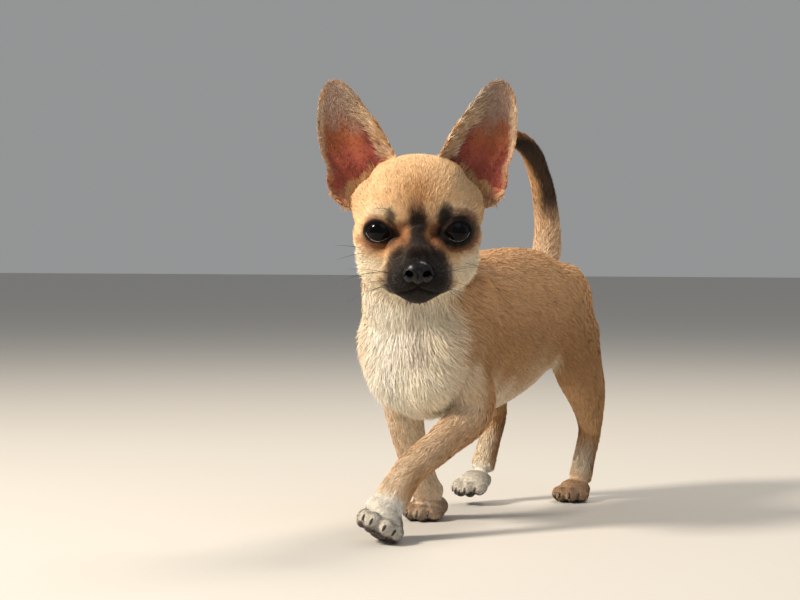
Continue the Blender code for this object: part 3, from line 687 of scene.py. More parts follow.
def ease_trunk(obj):
    """Smooth the trunk, neck and back of the head further, so that the muscles run into each
    other, and leave legs, tail and face as they are. A small push makes up for the shrinking."""
    points, _ = surface_of(obj)
    head = in_head(points)
    rear = ease(points[:, 1], *TRUNK_REAR)
    trunk = (1 - rear) * ease(points[:, 2], *ABOVE_FORELEGS) + rear * ease(points[:, 2], *ABOVE_HINDLEGS)
    _, tail = nearest_on(points, LIMBS["tail"]["line"])
    trunk *= ease(tail, *OFF_TAIL)
    face = ease(head[:, 2], *FACE_AHEAD) * ease(head[:, 1], *FACE_ABOVE)
    trunk *= 1 - face
    group = obj.vertex_groups.new(name="trunk")
    steps = np.round(trunk * TRUNK_STEPS).astype(int)
    for step in range(1, TRUNK_STEPS + 1):
        group.add(np.flatnonzero(steps == step).tolist(), step / TRUNK_STEPS, "REPLACE")
    add_smoothing(obj, TRUNK_SMOOTHING, "trunk")
    push = obj.modifiers.new("push", "DISPLACE")
    push.mid_level = 0.0
    push.strength = TRUNK_PUSH * MM
    push.vertex_group = "trunk"
    return settle(obj)


def shape_skull(points):
    """Draw the sides of the skull in below its flat top, most at DRAWN_AT, so that the cups of
    the ears show down to the side of the head."""
    local = in_head(points)
    height = hump(local[:, 1], DRAWN_AT, DRAWN_SPREAD)
    sides = ease(np.abs(local[:, 0]), *DRAWN_SIDES)
    draw = DRAWN_IN * height * sides * ease(local[:, 2], *DRAWN_AHEAD)
    local[:, 0] -= np.sign(local[:, 0]) * draw
    return on_head(local)


def surface_of(obj):
    """The object's points and triangles; the points in the source's millimetres."""
    mesh = obj.data
    mesh.calc_loop_triangles()
    points = np.empty(len(mesh.vertices) * 3)
    mesh.vertices.foreach_get("co", points)
    faces = np.empty(len(mesh.loop_triangles) * 3, int)
    mesh.loop_triangles.foreach_get("vertices", faces)
    return (points.reshape(-1, 3) - SHIFT) / MM, faces.reshape(-1, 3)


def normals_of(points, faces):
    """Outward direction at each point: the sum of its triangles' area vectors, at length one."""
    a, b, c = (points[faces[:, k]] for k in range(3))
    area = np.cross(b - a, c - a)
    total = np.zeros_like(points)
    for axis in range(3):
        for corner in range(3):
            total[:, axis] += np.bincount(faces[:, corner], area[:, axis], len(points))
    return unit(total)


def set_points(obj, points):
    """Write points in the source's millimetres back into the mesh."""
    obj.data.vertices.foreach_set("co", (points * MM + SHIFT).ravel())
    obj.data.update()


def nearest_on(points, line, samples=48):
    """Place along a smooth line (0 to 1) and distance to it, for each point."""
    t = np.linspace(0, 1, samples)
    spots = through(line, t)
    best = np.full(len(points), 1e9)
    place = np.zeros(len(points))
    for k in range(samples):
        reach = ((points - spots[k]) ** 2).sum(axis=1)
        nearer = reach < best
        best[nearer] = reach[nearer]
        place[nearer] = t[k]
    return place, np.sqrt(best)


def waves(points, size, seed):
    """Smooth noise, mostly within -1 to 1: the sum of WAVES sine waves of about the given size,
    each in its own seeded direction, over half their number."""
    rng = np.random.default_rng(seed)
    turned = unit(rng.normal(size=(WAVES, 3)))
    directions = turned * (2 * math.pi / size) * rng.uniform(0.6, 1.5, (WAVES, 1))
    phases = rng.uniform(0, 2 * math.pi, WAVES)
    return np.sin(points @ directions.T + phases).sum(axis=1) / (WAVES / 2)


def flesh_surfaces():
    """Every rounded form of the body and head, drawn in by the depth of the coat there."""
    parts = []
    for name, limb in LIMBS.items():
        side = HEAD[0] if name == "neck" else (1.0, 0.0, 0.0)
        wide, deep = (np.array(limb[key]) - limb["inset"] for key in ("wide", "deep"))
        parts.append(loft(limb["line"], wide, deep, side, limb["round"], LIMB_STEPS, LIMB_AROUND))
    for centre, radii in MUSCLES.values():
        for side in (-1, 1):
            parts.append(ellipsoid(np.array(mirrored(centre, side)), np.array(radii) - MUSCLE_INSET))
    for centre, radii, inset in FACE_SINGLE.values():
        parts.append(ellipsoid(on_head(centre), np.array(radii) - inset, HEAD))
    for centre, radii, inset in FACE_PAIRS.values():
        for side in (-1, 1):
            parts.append(ellipsoid(on_head(mirrored(centre, side)), np.array(radii) - inset, HEAD))
    for side in (-1, 1):
        parts.append(ellipsoid(on_head(mirrored(EYE_AT, side)), (EYE_RADIUS + LID_THICK,) * 3, HEAD))
    parts.append(loft(on_head(BRIDGE), BRIDGE_HALF_WIDE, BRIDGE_HALF_DEEP, HEAD[0]))
    return parts


def paw_surfaces(grow):
    """Each foot's body, four toes and the heel pad, drawn in by the coat less grow."""
    parts = []
    inset = PAW_COAT - grow
    for paw in PAWS.values():
        axes, size = paw_axes(paw), paw["size"]
        parts.append(ellipsoid(on_paw(paw, (0.0, 0.0, 0.0)), PAW_RADII * size - inset, axes))
        for across, along, half in TOES:
            radii = np.array((half, TOE_LENGTH, half * TOE_HEIGHT)) * size - inset
            parts.append(ellipsoid(on_paw(paw, (across, along, -TOE_DROP)), radii, axes))
        parts.append(ellipsoid(on_paw(paw, HEEL_PAD_AT), np.array(HEEL_PAD_RADII) * size - inset, axes))
    raised = PAWS["forepaw_left"]
    radii = INSTEP_RADII * raised["size"] - PAW_COAT + grow
    parts.append(ellipsoid(on_paw(raised, INSTEP_AT), radii, paw_axes(raised)))
    return parts


def almond(across, above):
    """1 on the edge of the lids' opening, less inside and more outside: the 1/1.6 power of
    |a/w|^1.9 + |b/h|^1.35, which draws the corners out to points."""
    wide = np.abs(across / OPENING_HALF_WIDE) ** 1.9
    high = np.abs(above / OPENING_HALF_HIGH) ** 1.35
    return (wide + high) ** (1 / 1.6)


def round_eye(local):
    """1 on the oval through the corners and middles of the lids, growing evenly outwards."""
    return np.hypot(local[:, 0] / OPENING_HALF_WIDE, local[:, 1] / OPENING_HALF_HIGH)


def in_eye(points, side):
    """Across, above and outward of that eye, and the distance from its middle."""
    local = (points - on_head(mirrored(EYE_AT, side))) @ eye_axes(side).T
    return local, np.linalg.norm(local, axis=1)


def shape_lids(points):
    """Lids: within the almond the skin drops behind the ball, at its edge it stands a share of a
    lid's thickness proud, and past LID_FADE it is left as it was. A crease lies over and under
    the lids."""
    for side in (-1, 1):
        centre = on_head(mirrored(EYE_AT, side))
        local, reach = in_eye(points, side)
        edge = ease(almond(local[:, 0], local[:, 1]), *LID_EDGE)
        around = round_eye(local)
        near = (reach < LID_REACH) & (local[:, 2] > 1.0)
        wanted = EYE_RADIUS - LID_DROP + (LID_DROP + LID_PROUD * LID_THICK) * edge
        moved = reach + (wanted - reach) * (near * fade(around, *LID_FADE))
        for over, depth, at, spread in LID_CREASES:
            moved -= depth * near * hump(around, at, spread) * (local[:, 1] * over > 0)
        points = centre + (points - centre) * (moved / np.maximum(reach, 1e-6))[:, None]
    return points


def mouth_on(points, faces):
    """The line of the mouth laid on the skin, one strand of points for each side."""
    skin = BVHTree.FromPolygons(points.tolist(), faces.tolist())
    line = through(MOUTH_LINE, np.linspace(0, 1, MOUTH_POINTS))
    strands = []
    for side in (-1, 1):
        guide = on_head([mirrored(point, side) for point in line])
        strands.append(np.array([skin.find_nearest(Vector(point))[0] for point in guide]))
    return np.concatenate(strands)


def shape_mouth(points, normals, line):
    """The closed lips: a groove along the line, with a soft roll of the lower lip just under it,
    and the philtrum's groove up to the nose, each a bell. Gives the points, and the distance
    from each to the line."""
    local = in_head(points)
    near = np.flatnonzero((local[:, 2] > 12) & (local[:, 1] < -14))
    reach = np.full(len(near), FAR_OFF)
    for spot in line:
        reach = np.minimum(reach, ((points[near] - spot) ** 2).sum(axis=1))
    reach = np.sqrt(reach)
    below = ease(-local[near, 1], 31.0, 36.0)
    groove = GROOVE_DEEP * hump(reach, 0, GROOVE_WIDE)
    push = -groove + ROLL_HIGH * below * hump(reach, ROLL_AT, ROLL_WIDE)
    cleft = hump(local[near, 0], 0, CLEFT_WIDE) * ease(local[near, 2], 38, 42)
    push -= CLEFT_DEEP * cleft * ease(-local[near, 1], 24, 27)
    points[near] += normals[near] * push[:, None]
    lips = np.full(len(points), NO_LIP)
    lips[near] = reach
    return points, lips


def shape_ears(points, normals):
    """Inside each ear: three folds fanning up from the base and a fold across the outer pocket."""
    for side in (-1, 1):
        local = in_ear(points, side)
        along, out = local[:, 0], local[:, 1]
        facing = ease(into_ear(normals, side), 0.3, 0.7)
        inside = facing * ease(along, 2, 6) * fade(along, 24, 34) * (np.abs(out) < 17)
        inside = inside * (np.abs(local[:, 2]) < 22) * (in_head(points)[:, 0] * side > 20)
        fan = out / (6.0 + 0.25 * np.clip(along, 0, 60))
        folds = 0.55 * np.cos(fan * 5.2 + 0.6) + 0.7 * hump(out - 9, 0.2 * along, 1.4)
        points = points + normals * (inside * folds)[:, None]
    return points


def build_skin():
    """The whole skin: melted and smoothed, then melted again with the ears and toes, thinned
    where it is plain, and shaped at lids, lips and ears."""
    skin = mesh_object("skin", *gathered(flesh_surfaces() + paw_surfaces(0.0)))
    melt(skin, BODY_VOXEL, BODY_SMOOTHING)
    ease_trunk(skin)
    points, faces = surface_of(skin)
    points = shape_skull(points)
    ears = [ear_surface(side) for side in (-1, 1)]
    bpy.data.objects.remove(skin)
    skin = mesh_object("skin", *gathered([(points, faces.tolist())] + ears + paw_surfaces(TOES_SUNK)))
    melt(skin, SKIN_VOXEL, SKIN_SMOOTHING)
    plain = skin.vertex_groups.new(name="plain")
    points, faces = surface_of(skin)
    local = np.abs(in_head(points))
    face = ease(in_head(points)[:, 2], 6, 14) * (local[:, 0] < 34) * (local[:, 1] < 42)
    plain.add(np.flatnonzero(face < 0.5).tolist(), 1.0, "REPLACE")
    thin = skin.modifiers.new("thin", "DECIMATE")
    thin.ratio = min(1.0, SKIN_TRIANGLES / len(faces))
    thin.vertex_group = "plain"
    thin.vertex_group_factor = 1.0
    settle(skin)
    skin.vertex_groups.clear()
    points, faces = surface_of(skin)
    points = shape_lids(points)
    points = shape_ears(points, normals_of(points, faces))
    normals = normals_of(points, faces)
    points, lips = shape_mouth(points, normals, mouth_on(points, faces))
    points[:, 2] = np.maximum(points[:, 2], FLOOR_CLEAR)
    set_points(skin, points)
    return skin, points, faces, lips


def places_of(points, normals):
    """Where each point is on the body: its part, its place along that part, and the values that
    the markings and the lie of the coat read. A point belongs to the form whose surface it is
    nearest to, as distance over radius."""
    where = {"point": points, "normal": normals, "head": in_head(points)}
    ratios, places = [], []
    for limb in LIMBS.values():
        place, reach = nearest_on(points, limb["line"])
        size = 0.5 * (through(limb["wide"], place) + through(limb["deep"], place))
        ratios.append(reach / np.maximum(size, LEAST_RADIUS))
        places.append(place)
    head = np.full(len(points), FAR_RATIO)
    for centre, radii, _ in FACE_SINGLE.values():
        head = np.minimum(head, np.linalg.norm((where["head"] - centre) / radii, axis=1))
    folded = where["head"].copy()
    folded[:, 0] = np.abs(folded[:, 0])
    for centre, radii, _ in FACE_PAIRS.values():
        head = np.minimum(head, np.linalg.norm((folded - centre) / radii, axis=1))
    muzzle = (folded[:, 2] > 12) & (folded[:, 1] > -42) & (folded[:, 0] < 34)
    head = np.where(muzzle, np.minimum(head, 0.9), head)
    ratios.append(head - HEAD_FIRST)
    for paw in PAWS.values():
        stretched = in_paw(paw, points) / (PAW_RADII * np.array((1.0, 1.25, 1.0)))
        ratios.append(np.linalg.norm(stretched, axis=1) - PAW_FIRST)
    for side in (-1, 1):
        along, out, front = in_ear(points, side).T
        near = (along > 3) & (along < 60) & (np.abs(out) < np.where(out > 0, 22.0, 18.0) + 2)
        near &= (front < 3) & (front > -19) & (head > 1.0)
        ratios.append(np.where(near, 0.0, FAR_RATIO))
    where["part"] = np.argmin(ratios, axis=0)
    where["ratios"] = np.array(ratios)
    where["places"] = np.array(places)
    return where


def within(where, *names):
    """True at the points that belong to the named parts of the body."""
    return np.isin(where["part"], [PART_OF[name] for name in names])


def painted(colours, *layers):
    """The colours moved towards each layer's colour in turn, by its share at each point."""
    for colour, share in layers:
        colours = colours + (PAINT[colour] - colours) * np.clip(share, 0, 1)[:, None]
    return colours


def body_colours(where):
    """Fawn back and flanks, tan withers, a cream chest with a white band and fawn on its right side, that
    fawn partly painted shade, a grey streak up the throat that is a parting of the fur and partly painted
    shade, pale legs with brown hocks, and a tail with a dark stripe on its upper side."""
    x, y, z = where["point"].T
    sideways, back, up = where["normal"].T
    ripple = waves(where["point"], 26.0, 3)
    under = ease(-up + 0.1 * ripple, 0.15, 0.85)
    forward = -back - 0.25 * up - 0.18 * np.abs(sideways) + 0.12 * ripple
    chest = ease(forward, -0.15, 0.5) * ease(-y, 46, 66)
    across = where["point"] @ CHEST_ACROSS + 1.5 * ripple
    throat = hump(across, -37, 5.5) * ease(z, 92, 108) * ease(forward, 0.0, 0.4)
    fore = within(where, "foreleg_left", "foreleg_right")
    low = ease(-z, -94, -62)
    colours = painted(
        np.tile(PAINT["fawn"], (len(x), 1)),
        ("fawn_deep", 0.75 * ease(-z, -140, -100) * (1 - under)),
        ("tan", 0.7 * ease(-y, 5, 45) * ease(z, 118, 142)),
        ("cream", chest),
        ("white", 0.9 * chest * ease(forward, 0.2, 0.7) * hump(across, -50, 15)),
        # The chest's right side washed fawn: fawn hair there, deepened as painted shade.
        ("fawn", 0.45 * chest * ease(across, -34, -6)),
        ("fawn", 0.4 * chest * ease(-across, 59, 68)),
        # The grey streak up the throat: a parting of the fur, darkened further as painted shade.
        ("grey", 0.5 * throat * ease(-y, 60, 70)),
        ("cream", 0.8 * under * within(where, "torso", "neck")),
        ("fawn", 0.7 * low * fore),
        ("cream", 0.35 * low * fore * ease(forward, 0.0, 0.8)),
        ("cream", 0.55 * fore * ease(-sideways * np.sign(x), 0.2, 0.9)),
    )
    for name in ("hindleg_left", "hindleg_right"):
        here, place = within(where, name), where["places"][PART_OF[name]]
        colours = painted(
            colours,
            ("brown", 0.45 * here * ease(back, 0.1, 0.8) * ease(place, 0.62, 0.75)),
            ("cream", 0.75 * here * ease(-back, -0.1, 0.7) * ease(place, 0.6, 0.8)),
        )
    hock = within(where, "hindleg_right") * hump(where["places"][PART_OF["hindleg_right"]], 0.62, 0.07)
    tail, place = within(where, "tail"), where["places"][PART_OF["tail"]]
    edge = 0.55 - 0.55 * ease(place, 0.35, 0.7)
    seen = 0.93 * sideways - 0.37 * back
    stripe = ease(seen + 0.12 * ripple, edge - 0.22, edge + 0.22) * ease(place, 0.26, 0.4)
    cap = tail * np.maximum(ease(up, 0.1, 0.5), ease(place, 0.93, 0.98))
    return painted(
        colours,
        ("brown", 0.8 * hock * ease(back, -0.5, 0.4)),
        ("cream", 0.35 * tail * fade(place, 0.2, 0.5)),
        ("mask_soft", 0.95 * tail * stripe),
        ("mask", 0.6 * tail * stripe * ease(place, 0.55, 0.8)),
        ("orange", 0.6 * tail * (1 - stripe) * ease(place, 0.5, 0.8)),
        ("orange", 0.85 * cap * ease(place, 0.6, 0.75)),
    )


def near_paw(points, name):
    """1 over a paw and its toes, falling to 0 above the wrist, and the place in the paw's axes."""
    local = in_paw(PAWS[name], points)
    reach = np.linalg.norm((local + PAW_FORWARD) / PAW_REACH, axis=1)
    return fade(reach + 0.08 * waves(points, 6.0, 10), 0.9, 1.25), local


def paw_colours(colours, where):
    """White feet, with fawn left on the darker two, grey painted shade between the toes, dark toe tips and
    pads, grey spots on the left forepaw and a grey mottle of painted shade over the right one."""
    points = where["point"]
    for name, paw in PAWS.items():
        near, local = near_paw(points, name)
        across, back, up = local.T
        sole = (where["normal"] @ paw_axes(paw).T)[:, 2]
        # Painted shade: grey in the gaps between the toes.
        between = hump(across, 0, 1.0) + hump(np.abs(across), 6.3, 1.0)
        tips = ease(-up, 1.0, 3.6) * ease(-back, 9, 14)
        colours = painted(
            colours,
            ("white", PAW_WHITE[name] * near),
            ("fawn", (0.7 - 0.7 * PAW_WHITE[name]) * near),
            ("pad", 0.75 * near * ease(-sole, *SOLE_TURNED)),
            ("grey", 0.3 * near * between * ease(-back, 6, 11)),
            ("pad", PAW_TIPPED[name] * near * tips),
        )
    near = fade(np.linalg.norm(points - np.array(PAWS["forepaw_left"]["at"]), axis=1), 14, 18)
    # Painted shade: a grey mottle over the right forepaw.
    shaded = within(where, "forepaw_right")
    return painted(
        colours,
        ("grey", 0.25 * near * ease(waves(points, 7.0, 8), 0.35, 0.75)),
        ("grey", 0.45 * shaded * ease(waves(points, 11.0, 9), -0.5, 0.6)),
    )


def face_colours(colours, where):
    """The dark mask over the muzzle, a dark streak between the eyes, black lid edges with rust below them,
    dark spots at the inner brows, pale brows, cream cheeks and jaw, and a painted highlight in grey along
    the front of the lower lip."""
    points = where["point"]
    right, up, forward = where["head"].T
    side = np.abs(right)
    ripple, fine = waves(points, 9.0, 5), waves(points, 3.5, 6)
    near = fade(where["ratios"][PART_OF["head"]], 1.08, 1.22)
    near = np.maximum(near, within(where, "head"))
    near *= 1 - within(where, "ear_right", "ear_left")
    front = ease(forward, -4, 10) * near
    centre = hump(side, 0, 9) * hump(up, 19, 10)
    crown = painted(
        np.tile(PAINT["gold"], (len(right), 1)),
        ("fawn", ease(-forward + 2 * ripple, -8, 14)),
        ("fawn_deep", 0.3 * ease(side + 2 * ripple, 20, 34) * ease(up, 0, 20)),
        ("orange", 0.75 * front * centre),
    )
    colours = colours + (crown - colours) * near[:, None]

    # Cheeks, jaw and brows.
    cheek = ease(side + 2.5 * ripple, 13, 25) * ease(-up + 2.5 * ripple, -2, 14) * ease(forward, -20, 0)
    throat = ease(-up - 0.25 * np.clip(forward, 0, 40) + 2 * ripple, 14, 28) * ease(forward, -24, -4)
    brow = hump(side, 19, 8) * hump(up, 10.0, 2.6)

    # The bridge: dark down the middle, with rusty patches beside it that reach the eyes' corners.
    stop = fade(side + 0.8 * fine, 11, 16) * fade(up + 1.2 * fine, 2.5, 8) * ease(up, -26, -12)
    low = fade(up + 1.5 * ripple, -9, -2) * fade(side + fine, 11, 17) * ease(forward, 10, 18)
    wide = 4.6 - 0.10 * np.clip(up, 0, 20) + 0.8 * fine
    streak = fade(side, wide - 2.0, wide + 2.2)
    core = fade(side, 0.5 * wide, wide + 1.0)
    colours = painted(
        colours,
        ("cream", near * np.maximum(0.85 * cheek, 0.85 * throat)),
        ("cream", 0.5 * front * brow),
        ("rust", 0.85 * front * stop),
        ("mask_soft", 0.95 * front * low),
        ("mask", 0.7 * front * low * fade(up + 1.5 * ripple, -13, -6)),
        ("rust", 0.7 * front * streak * fade(up, 10, 20)),
        ("mask_soft", 0.9 * front * streak * fade(up + 1.5 * fine, 7, 13)),
        ("mask", 0.9 * front * core * fade(up + 1.5 * fine, 5, 11)),
    )

    # Round each eye, in shares of the lids' opening: orange and rust below, then brown, then black.
    for turn, black, brown in EYE_RIMS:
        local, _ = in_eye(points, turn)
        out, over = local[:, 0] * turn, local[:, 1]
        edge = round_eye(local) + 0.06 * ripple + 0.04 * fine
        here = front * (right * turn > 0) * (edge < 4)
        below = ease(-over - 0.35 * out, -1, 4)
        corner = hump(out, -9.4, 3.2) * hump(over, -1.5, 4.0)
        colours = painted(
            colours,
            ("orange", 0.6 * here * fade(edge, 2.0, 2.7) * below),
            ("rust", 0.85 * here * below * fade(edge, 1.5, 2.1)),
            ("mask_soft", 0.4 * here * below * fade(edge, 1.3, 1.8)),
            ("rust", 0.75 * here * fade(edge, brown, brown + 0.3)),
            ("mask_soft", 0.9 * here * corner),
            ("mask_soft", 0.8 * here * fade(edge, black, brown)),
            ("mask", here * fade(edge, black - 0.08, black + 0.12)),
        )

    # Spots at the inner brows, and the mask, narrow at the bridge and full over the lips.
    spot = np.hypot(side - 13.6, 0.8 * (up - 7.0)) + 0.6 * fine
    full = 1.6 + 1.4 * (right > 0)
    reach = np.hypot(right / 19.5, (up + 25) / 18.0) + 0.05 * ripple + 0.03 * fine
    mask = fade(reach, 0.78, 1.1) * ease(forward, 7, 15) * near
    blaze = hump(side, 7.5, 2.6) * hump(up, -4.5, 3.6)
    # Painted highlight: a pale grey line on the front of the lower lip, where it catches the light.
    chin = ease(-up, 36.5, 39.0) * fade(side, 4, 9) * ease(forward, 20, 28)
    return painted(
        colours,
        ("mask_soft", 0.85 * front * fade(spot, full, full + 2.6)),
        ("mask", 0.8 * front * (right > 0) * fade(spot, 2.0, 4.2)),
        ("mask_soft", 0.97 * mask),
        ("mask", 0.95 * mask * fade(reach, 0.62, 0.98)),
        ("rust", 0.7 * front * blaze),
        ("grey", 0.5 * near * chin),
    )


def ear_colours(colours, where):
    """Fawn outside; inside, deep rose at the base turning rust and then grey-brown at the tip,
    with a fawn and cream fringe along the inner edge, a thin pale rim and a rosy lobe."""
    points = where["point"]
    ripple, fine = waves(points, 8.0, 12), waves(points, 3.0, 13)
    streaks = waves(points @ np.diag((1.0, 1.0, 0.35)), 2.2, 14)
    for side, name in EARS:
        here = within(where, name)
        local = in_ear(points, side)
        facing = into_ear(where["normal"], side)
        share = local[:, 0] / EAR_ALONG[-1]
        out = local[:, 1] / ear_half(local)
        inside = here * ease(facing, -0.05, 0.25)
        rose = fade(share + 0.08 * ripple, 0.22, 0.5)
        inner = ease(-out + 0.15 * ripple, 0.0, 0.55)
        rim = ease(np.abs(out) + 0.05 * fine, 0.86, 1.0)
        middle = fade(share, 0.75, 0.95) * ease(share, 0.1, 0.3)
        fringe = ease(-out + 0.10 * fine + 0.08 * streaks, 0.48, 0.74)
        pale = ease(streaks, -0.4, 0.6) * ease(share, 0.08, 0.24)
        outwards, up, forward = flipped(where["head"], side).T
        lobe = ease(outwards, 38, 40) * fade(outwards, 44, 47) * ease(up, 13, 20) * fade(up, 28, 36)
        lobe = lobe * (np.abs(forward) < 25) * ease(facing, 0.1, 0.5)
        colours = painted(
            colours,
            ("fawn", here * 1.0),
            ("brown", 0.25 * here * ease(np.abs(out), 0.7, 1.0) * ease(share, 0.3, 0.8)),
            ("ear_rust", inside),
            ("ear_fuzz", 0.9 * inside * ease(share + 0.07 * ripple - 0.1 * out, 0.42, 0.72)),
            ("ear_rose", 0.9 * inside * rose),
            ("ear_deep", 0.75 * inside * inner * fade(share, 0.36, 0.6)),
            ("ear_deep", 0.45 * inside * ease(fine, 0.0, 0.9) * rose),
            ("fawn", 0.6 * inside * rim),
            ("cream", 0.35 * inside * rim * middle),
            ("fawn", 0.9 * inside * fringe * fade(share, 0.6, 0.85)),
            ("cream", 0.75 * inside * fringe * pale),
            ("ear_fuzz", 0.6 * inside * fringe * ease(share, 0.5, 0.8)),
            ("ear_rose", 0.6 * lobe),
        )
    return colours


def markings(where):
    """Colour at each point, in linear values, with a soft mottle."""
    colours = body_colours(where)
    colours = paw_colours(colours, where)
    colours = face_colours(colours, where)
    colours = ear_colours(colours, where)
    mottle = 1 + 0.05 * waves(where["point"], 12.0, 21) + 0.04 * waves(where["point"], 4.0, 22)
    return np.clip(colours * mottle[:, None], 0.002, 1)


def course(line, t, step):
    """Direction of a smooth line at each place along it, taken over a step to either side."""
    return unit(through(line, np.clip(t + step, 0, 1)) - through(line, np.clip(t - step, 0, 1)))


def lie_of_coat(where):
    """Direction of the hair at each point, along the skin: back from the nose over the head, down
    the neck and chest, back along the body, down the limbs, out to the tips of ears and tail."""
    points, normals, head = where["point"], where["normal"], where["head"]
    ratios = where["ratios"][:len(LIMBS)]
    weights = np.exp(-4 * (ratios - ratios.min(axis=0)))
    flow = np.zeros_like(points)
    for k, limb in enumerate(LIMBS.values()):
        flow += limb["lie"] * course(limb["line"], where["places"][k], 0.03) * weights[k][:, None]
    flow[:, 2] -= 0.55 * within(where, "torso") + 0.35 * within(where, "neck")
    away = unit(head - np.array(HAIR_PARTS_AT))
    away[:, 2] -= 0.35
    away[:, 1] += 0.25 * ease(head[:, 1], -12, 4) - 0.35 * ease(-head[:, 1], 12, 24) * (head[:, 2] < 22)
    share = fade(where["ratios"][PART_OF["head"]], 1.0, 1.2)
    flow += (unit(away @ HEAD) - flow) * share[:, None]
    for name, paw in PAWS.items():
        flow[within(where, name)] = np.array(PAW_LIE) @ paw_axes(paw)
    for side, name in EARS:
        here = within(where, name)
        inside = ease(into_ear(normals[here], side), -0.1, 0.2)
        turn = np.where(in_ear(points[here], side)[:, 1] < 0, 0.75, -0.35) * inside
        ahead = EAR[0] + turn[:, None] * EAR[1] + (0.25 * inside)[:, None] * EAR[2]
        flow[here] = flipped(ahead, side) @ HEAD
    sway = waves(points, 14.0, 31)[:, None] * 0.22 + waves(points, 5.0, 32)[:, None] * 0.12
    flow = unit(flow) + sway * np.cross(normals, unit(flow))
    flow -= (flow * normals).sum(axis=1)[:, None] * normals
    return unit(flow)


def hair_of(where, lips):
    """Length, root width, lift in radians, tufts per square millimetre and wildness of the hair."""
    points, normals = where["point"], where["normal"]
    length, width, lift, density, wild = (np.full(len(points), value) for value in PLAIN_HAIR)
    for name, limb in LIMBS.items():
        length[within(where, name)] = limb["hair"]

    # Trunk, legs and tail.
    torso, neck = within(where, "torso"), within(where, "neck")
    chest = ease(-normals[:, 1], 0.0, 0.6) * ease(-points[:, 1], 50, 70) * torso
    length += 3.0 * chest
    density[torso] = 1.35
    density[neck] = 1.8
    length += 1.6 * neck
    wild += 0.12 * np.maximum(chest, neck)
    lift += 0.07 * np.maximum(chest, neck)
    legs = within(where, *(name for name in LIMBS if "leg" in name))
    density[legs] = 2.0
    length += 2.5 * (legs * ease(normals[:, 1], 0.3, 0.9) * ease(points[:, 2], 60, 84))
    tail = within(where, "tail")
    density[tail] = 2.6
    lift[tail] = 0.2
    for name in PAWS:
        near = near_paw(points, name)[0]
        for values, wanted in zip((length, width, lift, density, wild), PAW_HAIR):
            values += (wanted - values) * near

    # Head: short in front, longer on the cheeks and the crown.
    face = within(where, "head")
    side, up, forward = np.abs(where["head"][:, 0]), where["head"][:, 1], where["head"][:, 2]
    front, dome = ease(forward, 2, 22), ease(up, 4, 12)
    length[face] = (4.4 - 2.4 * front * (1 - 0.75 * dome))[face]
    cheek = face * ease(side, 16, 26) * ease(-up, 4, 16) * fade(forward, 8, 18)
    length += 4.0 * cheek
    wild += 0.15 * cheek
    lift += 0.10 * cheek
    length += 1.2 * (face * ease(up, 22, 34) * ease(side, 12, 22))
    width[face] = (0.34 - 0.10 * front * (1 - 0.6 * dome))[face]
    density[face] = (2.8 + 3.4 * front * (1 - 0.5 * dome))[face]
    lift[face] += (0.05 * dome)[face]
    wild += 0.06 * face * dome

    # Ears: sparse in the cup, thick at rim and tip, with a long fringe along the inner edge.
    for sign, name in EARS:
        here = within(where, name)
        local = in_ear(points, sign)
        inside = here * ease(into_ear(normals, sign), 0.0, 0.3)
        out = local[:, 1] / ear_half(local)
        rim = inside * ease(np.abs(out), 0.55, 0.8)
        tip = inside * ease(local[:, 0], 24, 44)
        low = inside * fade(local[:, 0], 6, 14)
        fringe = inside * ease(-out, 0.3, 0.6) * fade(local[:, 0], 40, 52)
        length[here], width[here], density[here] = EAR_HAIR
        density -= 2.9 * inside * (1 - np.clip(rim + 0.7 * tip + low, 0, 1))
        length += 1.0 * tip + 3.2 * fringe * (1 - low) + 0.4 * low
        lift += 0.16 * fringe * (1 - low) - 0.05 * tip
        wild += 0.12 * inside

    # None on lips, lids, nose and soles, and short beside them.
    density *= ease(lips, 0.35, 0.9)
    length *= 1 - 0.5 * fade(lips, 0.8, 3.0)
    for sign in (-1, 1):
        local, reach = in_eye(points, sign)
        near = (reach < 16) & (local[:, 2] > 0)
        density *= np.where(near, ease(almond(local[:, 0], local[:, 1]), 1.1, 1.25), 1)
        length *= np.where(near, 0.45 + 0.55 * ease(round_eye(local), 1.3, 2.4), 1)
    pad = where["head"] - np.array(NOSE_AT) - (0.0, -1.5, 0.0)
    pad = np.linalg.norm(pad / (np.array(NOSE_RADII) * 1.12), axis=1)
    density *= ease(pad, 1.0, 1.08)
    length *= 1 - 0.4 * fade(pad, 1.1, 1.8)
    for name, paw in PAWS.items():
        sole = (normals @ paw_axes(paw).T)[:, 2]
        density *= 1 - 0.85 * within(where, name) * ease(-sole, *SOLE_TURNED)
    return length, width, lift, density, wild


